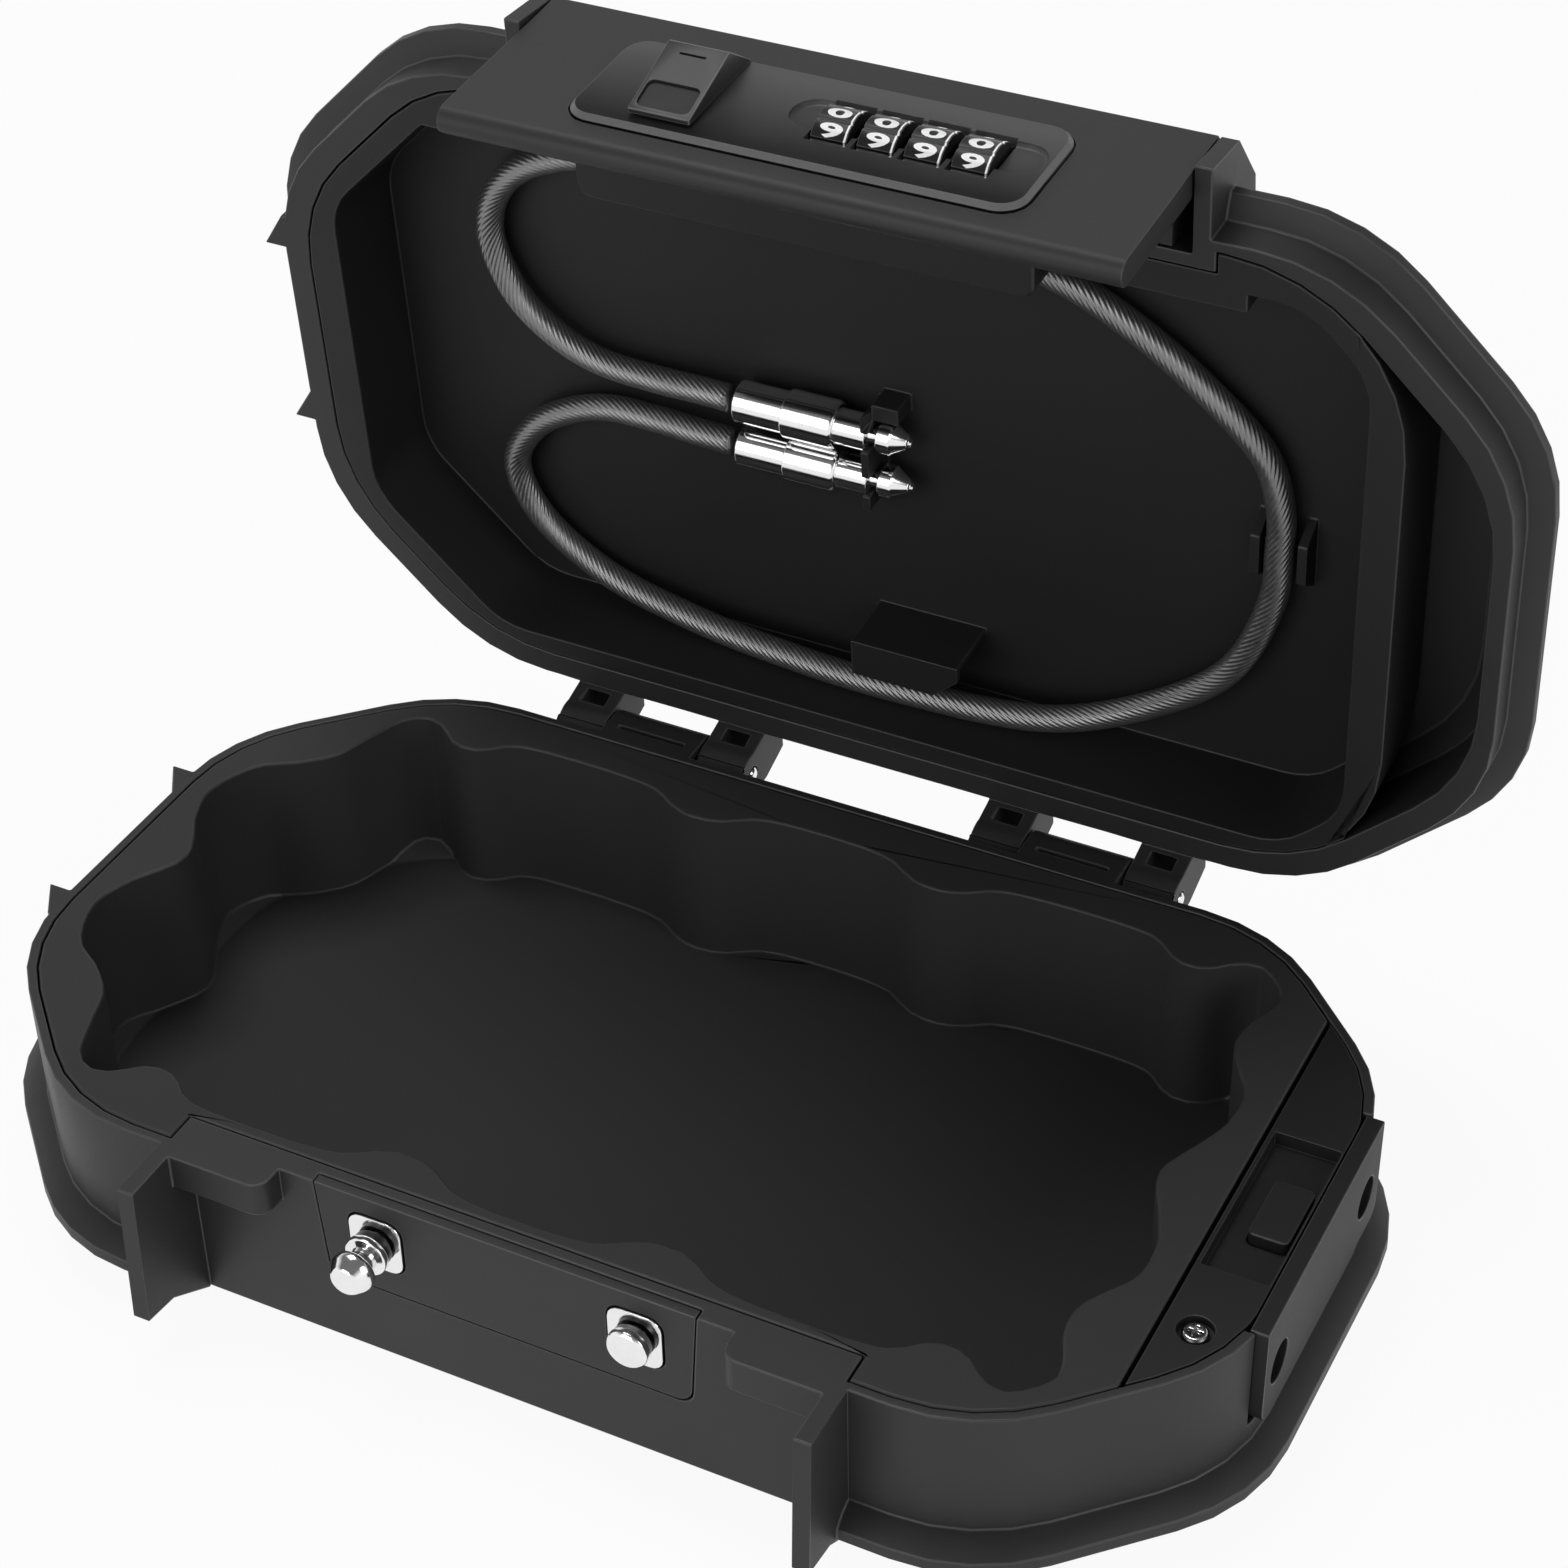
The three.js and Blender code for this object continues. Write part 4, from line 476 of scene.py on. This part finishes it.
# The lighter edge grey is partly wear and partly a painted highlight on the rounded edges.
tray_edge = moulded_plastic("tray_edge", shade=0.024, roughness=0.45)
lid_tray = merged_copy("lid_tray", "lid_tray_moulding", tray_black, tray_edge)
lid_tray.data.transform(swing.inverted())
for vertex in lid_tray.data.vertices:
    place = vertex.co
    beside_plug = stop_left < place.x < stop_right and stop_front < place.y < stop_back
    if beside_plug and place.z < stop_top:
        place.z = stop_top
lid_tray.data.transform(swing)
round_edges(lid_tray, 0.3 * mm)
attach(lid_tray, "lid")
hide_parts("lid_tray")


# Lock: the housing stands on the lid's front with its flap hanging below the rim. The works
# behind it are closed by a back cover and by a box inside the lid.
moulding("lock_housing", "lid", wall_black, wall_rub_and_highlight, radius=0.2 * mm, steps=2)
moulding("inner_lock_cover", "lid", tray_black, tray_edge, radius=0.4 * mm)


# Lock panel: a satin plate set in the housing, with a broad chamfer all round and a trough
# that the dials stand in. It is glued in its recess; its windows and slot are stamped out.
panel_face = -81.0 * mm
panel_back = -79.1 * mm
panel_half = 41.5 * mm
panel_low, panel_high = 15.5 * mm, 42.0 * mm
panel_corner = 5.0 * mm
panel_chamfer = 0.9 * mm
trough_low, trough_high = 25.6 * mm, 34.8 * mm
trough_start, trough_end = -5.5 * mm, 40.0 * mm
trough_depth = 0.9 * mm
trough_rounding, floor_rounding = 0.48, 0.95
dial_centre = Vector((0.0, -76.6, 29.0)) * mm
dial_pitch = 8.4 * mm
first_dial = 4.0 * mm
window_half = 3.7 * mm
window_reach = 6.45 * mm
window_front, window_rear = panel_face * 1.05, panel_back * 0.95
stem_way = ((-27.25, -82.0, 23.25), (-21.25, -78.0, 34.25))
corner_steps = 10
straight = 0.99


def cube_between(name, low, high):
    """A box from its two corners, with its place in its mesh."""
    bpy.ops.object.select_all(action="DESELECT")
    low, high = Vector(low), Vector(high)
    bpy.ops.mesh.primitive_cube_add(size=1.0, location=(low + high) / 2, scale=high - low)
    bpy.context.object.name = name
    bpy.ops.object.transform_apply(location=True, rotation=True, scale=True)
    return bpy.context.object


def pick_faces(piece, wanted):
    """Selects, in edit mode, the faces of a piece that pass the test."""
    bpy.ops.object.mode_set(mode="EDIT")
    bpy.ops.mesh.select_mode(type="FACE")
    bpy.ops.mesh.select_all(action="DESELECT")
    bpy.ops.object.mode_set(mode="OBJECT")
    for face in piece.data.polygons:
        face.select = wanted(face)
    bpy.ops.object.mode_set(mode="EDIT")


def round_corners(piece, radius, steps):
    """Rounds the four edges of a box that run from front to back."""
    alone(piece)
    bpy.ops.object.mode_set(mode="EDIT")
    bpy.ops.mesh.select_mode(type="EDGE")
    bpy.ops.mesh.select_all(action="DESELECT")
    bpy.ops.object.mode_set(mode="OBJECT")
    for edge in piece.data.edges:
        first, second = [piece.data.vertices[index].co for index in edge.vertices]
        edge.select = abs((second - first).normalized().y) > straight
    bpy.ops.object.mode_set(mode="EDIT")
    bpy.ops.mesh.bevel(offset=radius, segments=steps, affect="EDGES")
    bpy.ops.object.mode_set(mode="OBJECT")


def cut_with(piece, cutter, operation="DIFFERENCE"):
    """Joins a piece with another or cuts it, and throws the other away."""
    change = piece.modifiers.new("cut", "BOOLEAN")
    change.operation = operation
    change.object = cutter
    alone(piece)
    bpy.ops.object.modifier_apply(modifier="cut")
    bpy.data.objects.remove(cutter)


# Where the painted sheen on the lock panel starts and ends, and its darkest and lightest greys.
sheen_start, sheen_end = 47 * mm, 68 * mm
sheen_dark, sheen_light = 0.003, 0.105
sheen_share = 0.94
patch_size = 9 * mm


def fading_black(name):
    """Satin black with a painted sheen: it fades from nearly black at the panel's foot to grey at its
    top.
    """
    material = bpy.data.materials.new(name)
    start = blank(material)
    place = start.node("TexCoord", output="Object")
    up_panel = place.node("SeparateXYZ", {}, {"Vector": place}, output="Y")
    sheen = place.node("MapRange", {}, {"Value": up_panel, "From Min": sheen_start, "From Max": sheen_end})
    clouds = place.node("TexNoise", {}, {"Vector": place, "Scale": 1.0 / patch_size, "Detail": 3.0})
    spark = place.node("TexNoise", {}, {"Vector": place, "Scale": 1.0 / spark_grain, "Detail": 2.0})
    bump = place.node("Bump", {}, {"Height": spark, "Distance": 0.004 * mm})
    surface = place.node("BsdfPrincipled", {}, {
        "Base Color": (sheen * sheen_share + clouds * (1.0 - sheen_share)).colour(sheen_dark, sheen_light),
        "Roughness": (clouds - 0.5) * 0.1 + 0.34,
        "Specular IOR Level": 0.15,
        "Normal": bump,
    })
    place.node("OutputMaterial", {}, {"Surface": surface})
    return material


# The lock panel's colour carries a painted sheen that is lighter towards its top.
panel_painted_sheen = fading_black("panel_painted_sheen")
# A light grey for the panel's chamfer and the button's rounded edges: a painted highlight.
painted_edge_highlight = moulded_plastic("painted_edge_highlight", shade=0.13, roughness=0.35)
lock_panel = cube_between("lock_panel_plate", (-panel_half, panel_face + panel_chamfer, panel_low),
                          (panel_half, panel_back, panel_high))
lock_panel.data.materials.append(panel_painted_sheen)
lock_panel.data.materials.append(painted_edge_highlight)
round_corners(lock_panel, panel_corner, corner_steps)
pick_faces(lock_panel, lambda face: face.normal.y < -straight)
bpy.ops.mesh.inset(thickness=panel_chamfer, depth=panel_chamfer)
bpy.ops.object.mode_set(mode="OBJECT")
# The chamfer faces take the light grey of the painted highlight.
for face in lock_panel.data.polygons:
    chamfered = -0.9 < face.normal.y < -0.5
    face.material_index = 1 if chamfered else 0
trough = cube_between("trough_cutter", (trough_start, panel_face - trough_depth, trough_low),
                      (trough_end, panel_face + trough_depth, trough_high))
round_corners(trough, trough_rounding * (trough_high - trough_low), corner_steps)
pick_faces(trough, lambda face: face.normal.y > straight)
bpy.ops.mesh.bevel(offset=trough_depth * floor_rounding, segments=4, affect="EDGES")
bpy.ops.object.mode_set(mode="OBJECT")
cut_with(lock_panel, trough)
for index in range(4):
    middle = first_dial + index * dial_pitch
    cut_with(lock_panel, cube_between(
        "window_cutter", (middle - window_half, window_front, dial_centre.z - window_reach),
        (middle + window_half, window_rear, dial_centre.z + window_reach)))
cut_with(lock_panel, cube_between("stem_cutter", *[Vector(corner) * mm for corner in stem_way]))
round_edges(lock_panel, 0.1 * mm, steps=2, angle=35, edge_slot=-1)
lock_panel.data.transform(swing)
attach(lock_panel, "lid")
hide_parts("lock_panel")


# Slide button: an ABS wedge that the thumb pushes up, moulded in one with a stem that goes
# through the panel to the carrier. It has a sunk pad in its lower half and a dash near its crest,
# whose floors are painted darker as shade.
button_left, button_right = -30.0 * mm, -18.5 * mm
button_foot, button_crest, button_top = 18.5 * mm, 33.8 * mm, 41.3 * mm
button_rear = -81.3 * mm
toe_face, crest_face = -82.3 * mm, -86.8 * mm
spare = 1 * mm
stem_box = ((-27.0, -81.9, 23.5), (-21.5, -76.9, 30.0))
pad_low, pad_high = Vector((-29.2, -1.0, 0.9)) * mm, Vector((-19.3, 0.5, 7.0)) * mm
dash_low, dash_high = Vector((-26.8, -1.0, 13.3)) * mm, Vector((-21.8, 0.4, 13.8)) * mm
pad_corner, dash_corner = 1.3 * mm, 0.2 * mm
sunk_depth = 0.3 * mm

button = cube_between("slide_wedge", (button_left, crest_face - spare, button_foot),
                      (button_right, button_rear, button_top + spare))
toe = Vector((0.0, toe_face, button_foot))
crest = Vector((0.0, crest_face, button_crest))
slope = Vector((0.0, -(button_crest - button_foot), crest_face - toe_face)).normalized()
back_slope = Vector((0.0, -(button_top - button_crest), button_rear - crest_face)).normalized()
bpy.ops.object.mode_set(mode="EDIT")
for point, outward in ((toe, slope), (crest, back_slope)):
    bpy.ops.mesh.select_all(action="SELECT")
    bpy.ops.mesh.bisect(plane_co=point, plane_no=outward, clear_outer=True, use_fill=True)
bpy.ops.object.mode_set(mode="OBJECT")
button_black = moulded_plastic("button_black", shade=0.026, roughness=0.40, depth=0.005 * mm)
button.data.materials.append(button_black)
button.data.materials.append(painted_edge_highlight)
button.data.materials.append(cover_black)
# The button's rounded edges take the light grey of the painted highlight.
round_edges(button, 0.2 * mm, steps=2, angle=28)
cut_with(button, cube_between("slide_stem", *[Vector(corner) * mm for corner in stem_box]), "UNION")
bpy.ops.mesh.customdata_custom_splitnormals_clear()
lean = math.atan2(toe_face - crest_face, button_crest - button_foot)
lean_back = Matrix.Translation(toe) @ Matrix.Rotation(lean, 4, "X")
for low, high, corner in ((pad_low, pad_high, pad_corner), (dash_low, dash_high, dash_corner)):
    cutter = cube_between("sunk_cutter", low, high)
    round_corners(cutter, corner, 5)
    cutter.data.transform(lean_back)
    cut_with(button, cutter)
bpy.ops.object.shade_smooth_by_angle(angle=smooth_angle)
# The floors of the sunk pad and dash take the darker cover black: painted shade in the recesses.
for face in button.data.polygons:
    sunk = (face.center - toe).dot(slope) < -sunk_depth
    if sunk and face.normal.dot(slope) > 0.999:
        face.material_index = 2
button.data.transform(swing)
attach(button, "slider")
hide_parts("slide_button")


# Dials: four black wheels on a steel spindle, each with ten flats and white printed numbers
# and a painted white highlight round its right rim. They stand with a flat outward, 0 over 9.
dial_radius = 6.4 * mm
dial_shrink = 0.97
dial_half = 3.3 * mm
flats = 10
flat_share = 0.38
zero_flat = 5
number_width, number_height = 4.3 * mm, 2.7 * mm
print_height = 0.04 * mm
print_foot = dial_radius - 0.5 * print_height
flat_lean = math.pi * flat_share / flats
stroke_spread = 0.032
curve_steps = 4
rim_highlight_width, rim_highlight_inset = 0.35 * mm, 0.25 * mm
rim_highlight_reach = 0.8 * dial_radius
dial_black = moulded_plastic("dial_black", shade=0.010, roughness=0.3, shine=0.4, depth=0.003 * mm)
# The lighter edge grey paints a highlight along the wheels' rounded edges.
dial_edge = moulded_plastic("dial_edge", shade=0.06, roughness=0.3)
# White for the printed numbers, and for the painted highlight band on each wheel's right rim.
print_and_highlight_white = moulded_plastic("print_and_highlight_white", shade=0.95, roughness=0.4, shine=0.8,
                              depth=0.002 * mm, mottle=0.04)


def number(digit):
    """A printed digit, upright at the origin, as wide as it is on the flats of the dials."""
    bpy.ops.object.select_all(action="DESELECT")
    bpy.ops.object.text_add()
    text = bpy.context.object
    text.data.body = str(digit)
    text.data.offset = stroke_spread
    text.data.extrude = print_height
    text.data.resolution_u = curve_steps
    bpy.ops.object.convert(target="MESH")
    return bpy.context.object


zero = number(0)
zero_width, zero_height = zero.dimensions.x, zero.dimensions.y
bpy.data.objects.remove(zero)


def number_on_flat(flat):
    """The digit of a flat, brought to its size and laid on it round the middle of the dials.

    Its upper and lower halves lean back a little, as the crowned flat does.
    """
    glyph = number((zero_flat - flat) % flats)
    alone(glyph)
    bpy.ops.object.mode_set(mode="EDIT")
    bpy.ops.mesh.select_all(action="SELECT")
    bpy.ops.mesh.remove_doubles(threshold=merge_reach)
    middle = [sum(corner[axis] for corner in glyph.bound_box) / 8 for axis in range(3)]
    bpy.ops.mesh.bisect(plane_co=middle, plane_no=(0.0, 1.0, 0.0))
    bpy.ops.object.mode_set(mode="OBJECT")
    turn = 2 * math.pi * flat / flats
    for vertex in glyph.data.vertices:
        side = (vertex.co.x - middle[0]) * number_width / zero_width
        rise = (vertex.co.y - middle[1]) * number_height / zero_height
        reach = print_foot + vertex.co.z - abs(rise) * math.sin(flat_lean)
        along = rise * math.cos(flat_lean)
        vertex.co = dial_centre + Vector((
            side,
            reach * math.cos(turn) + along * math.sin(turn),
            reach * math.sin(turn) - along * math.cos(turn)))
    glyph.data.materials.append(print_and_highlight_white)
    return glyph


numbers = [number_on_flat(flat) for flat in range(flats)]
alone(numbers[0])
for glyph in numbers:
    glyph.select_set(True)
bpy.ops.object.join()
printing = bpy.context.object

# Each wheel is the CAD's one, a little smaller and half a flat further round.
half_flat = Matrix.Rotation(math.pi / flats, 4, "X")
shrink = Matrix.Diagonal((1.0, dial_shrink, dial_shrink, 1.0))
for index in range(4):
    node = f"dial_{index + 1}"
    middle = first_dial + index * dial_pitch
    wheel = merged_copy(node, node + "_wheel", dial_black, dial_edge)
    wheel.data.materials.append(print_and_highlight_white)
    centre = dial_centre + Vector((middle, 0.0, 0.0))
    wheel.data.transform(swing.inverted())
    wheel.data.transform(Matrix.Translation(centre) @ half_flat @ shrink @ Matrix.Translation(-centre))
    highlight_end = middle + dial_half - rim_highlight_inset
    highlight_start = highlight_end - rim_highlight_width
    bpy.ops.object.mode_set(mode="EDIT")
    for place in (highlight_start, highlight_end):
        bpy.ops.mesh.select_all(action="SELECT")
        bpy.ops.mesh.bisect(plane_co=(place, 0.0, 0.0), plane_no=(1.0, 0.0, 0.0))
    bpy.ops.object.mode_set(mode="OBJECT")
    round_edges(wheel, 0.14 * mm, steps=2)
    # The band between these cuts, near the rim, takes the white: a painted highlight, not print.
    for face in wheel.data.polygons:
        spoke = face.center - centre
        spoke.x = 0.0
        if highlight_start < face.center.x < highlight_end and spoke.length > rim_highlight_reach:
            face.material_index = 2
    wheel.data.transform(swing)
    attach(wheel, node)
    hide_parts(node)
    figures = bpy.data.objects.new(node + "_numbers", printing.data.copy())
    scene.collection.objects.link(figures)
    figures.data.transform(swing @ Matrix.Translation((middle, 0.0, 0.0)))
    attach(figures, node)
bpy.data.objects.remove(printing)


# Tether cable: stranded steel rope in a clear jacket, one loop laid round the tray under its
# hook and prongs. Its route keeps the points of the CAD.
cable_points = [
    (-33.3, -1.3, 51.3), (-41, -1.2, 51.6), (-49.3, -0.6, 52.3), (-62.2, -1.2, 52.8),
    (-70.5, -4.6, 52.8), (-78.4, -11.5, 52.8), (-82.6, -20.8, 52.8), (-83, -27.2, 52.8),
    (-80.4, -34.4, 52.8), (-75, -40.3, 52.8), (-66, -44.8, 52.8), (-50, -48.4, 52.8),
    (-25, -50, 52.8), (5, -49.2, 52.8), (32.6, -43.4, 52.8), (45.6, -37.4, 52.8),
    (58.7, -28.4, 52.8), (71.4, -16, 52.8), (74.6, -5, 52.8), (74.6, 3, 52.8),
    (73.8, 14.5, 52.8), (66, 33.5, 52.6), (48.6, 47.4, 51.6), (30.5, 54, 49.2),
    (0, 55.1, 47.4), (-22.9, 55, 48.2), (-45, 54.2, 50.4), (-66, 50, 52.4),
    (-79.6, 39.7, 52.8), (-83.4, 28.3, 52.8), (-77.1, 17.4, 52.8), (-63.5, 10, 52.8),
    (-50, 8.8, 52.3), (-41, 8.7, 51.6), (-33.3, 8.7, 51.3),
]
cable_radius = 2.7 * mm
strands = 18
strand_points = 4
strand_depth = 0.16 * mm
strand_bulge = 0.6
lay_length = 27.0 * mm
ring_step = 1.1 * mm
fine_steps = 16
wire_size, wear_size = 1.1 * mm, 14 * mm
wire_share = 0.6


def through_points(points, step):
    """A smooth centripetal line through the points, cut into equal short steps."""
    ends = [points[0] * 2 - points[1], *points, points[-1] * 2 - points[-2]]
    fine = []
    for a, b, c, d in zip(ends, ends[1:], ends[2:], ends[3:]):
        ta = 0.0
        tb = ta + (b - a).length ** 0.5
        tc = tb + (c - b).length ** 0.5
        td = tc + (d - c).length ** 0.5
        for index in range(fine_steps):
            t = tb + (tc - tb) * index / fine_steps
            ab = a * ((tb - t) / (tb - ta)) + b * ((t - ta) / (tb - ta))
            bc = b * ((tc - t) / (tc - tb)) + c * ((t - tb) / (tc - tb))
            cd = c * ((td - t) / (td - tc)) + d * ((t - tc) / (td - tc))
            abc = ab * ((tc - t) / (tc - ta)) + bc * ((t - ta) / (tc - ta))
            bcd = bc * ((td - t) / (td - tb)) + cd * ((t - tb) / (td - tb))
            fine.append(abc * ((tc - t) / (tc - tb)) + bcd * ((t - tb) / (tc - tb)))
    fine.append(points[-1])
    reach = [0.0]
    for before, after in zip(fine, fine[1:]):
        reach.append(reach[-1] + (after - before).length)
    count = round(reach[-1] / step)
    even = []
    place = 0
    for index in range(count + 1):
        wanted = reach[-1] * index / count
        while place < len(fine) - 2 and reach[place + 1] < wanted:
            place += 1
        share = (wanted - reach[place]) / (reach[place + 1] - reach[place])
        even.append(fine[place].lerp(fine[place + 1], share))
    return even, reach[-1]


def stranded_mesh(name, route):
    """A closed rope along the route: a ring of grooved strands at each step, turned as it is laid."""
    around = strands * strand_points
    sideways = Vector((0.0, 0.0, 1.0))
    points = []
    faces = []
    for index, centre in enumerate(route):
        before = route[max(index - 1, 0)]
        after = route[min(index + 1, len(route) - 1)]
        ahead = (after - before).normalized()
        sideways = (sideways - ahead * sideways.dot(ahead)).normalized()
        across = ahead.cross(sideways)
        twist = 2 * math.pi * index * ring_step / lay_length
        for step in range(around):
            turn = 2 * math.pi * step / around
            dip = strand_depth * (1.0 - abs(math.cos(strands * turn / 2)) ** strand_bulge)
            radius = cable_radius - dip
            points.append(centre + sideways * (radius * math.cos(turn + twist))
                          + across * (radius * math.sin(turn + twist)))
    for ring in range(len(route) - 1):
        for step in range(around):
            a = ring * around + step
            b = ring * around + (step + 1) % around
            faces.append((a, b, b + around, a + around))
    faces.append(tuple(range(around - 1, -1, -1)))
    last = (len(route) - 1) * around
    faces.append(tuple(range(last, last + around)))
    mesh = bpy.data.meshes.new(name)
    mesh.from_pydata(points, [], faces)
    return mesh


def coated_wires(name):
    """Fine grey wires under a clear jacket, with duller patches along the rope."""
    material = bpy.data.materials.new(name)
    start = blank(material)
    place = start.node("TexCoord", output="Object")
    wires = place.node("TexNoise", {}, {"Vector": place, "Scale": 1.0 / wire_size, "Detail": 3.0})
    patches = place.node("TexNoise", {}, {"Vector": place, "Scale": 1.0 / wear_size, "Detail": 2.0})
    surface = place.node("BsdfPrincipled", {}, {
        "Base Color": (wires * wire_share + patches * (1.0 - wire_share)).colour(0.10, 0.26),
        "Metallic": 0.75,
        "Roughness": (wires - 0.5) * 0.25 + 0.36,
        "Coat Weight": 0.7,
        "Coat Roughness": 0.12,
    })
    place.node("OutputMaterial", {}, {"Surface": surface})
    return material


cable_in_place = [swing @ (Vector(point) * mm) for point in cable_points]
route, cable_length = through_points(cable_in_place, ring_step)
tether = bpy.data.objects.new("stranded_tether", stranded_mesh("stranded_tether", route))
scene.collection.objects.link(tether)
alone(tether)
bpy.ops.object.shade_smooth()
cable_steel = coated_wires("coated_cable")
tether.data.materials.append(cable_steel)
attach(tether, "lid")
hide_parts("tether_cable")


# Cable plugs: turned and chromed steel, crimped on both ends of the cable. Each has a grip, a
# smooth barrel and the neck that the catch plate holds, and the lid carries both with the cord.
plug_profile = [
    (1.6, 2.8), (1.6, 3.6), (2.0, 4.1), (11.4, 4.1), (11.8, 3.9), (12.0, 4.6), (12.3, 4.7),
    (21.6, 4.7), (22.4, 4.2), (22.4, 3.5), (28.6, 3.5), (28.8, 3.2), (28.8, 1.75),
    (30.8, 1.75), (30.8, 3.0), (31.0, 3.25), (33.4, 3.25), (33.7, 2.8), (36.3, 1.3),
    (36.5, 0.8), (37.1, 0.7), (37.1, 0.05),
]
for node in ("cable_plug_1", "cable_plug_2"):
    low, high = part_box(node)
    foot = Vector((low[0], (low[1] + high[1]) / 2, (low[2] + high[2]) / 2))
    plug = turned(node + "_turned", foot, (1.0, 0.0, 0.0),
                  [(distance * mm, radius * mm) for distance, radius in plug_profile], bright_steel)
    round_edges(plug, 0.12 * mm, steps=2)
    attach(plug, "lid")
    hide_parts(node)
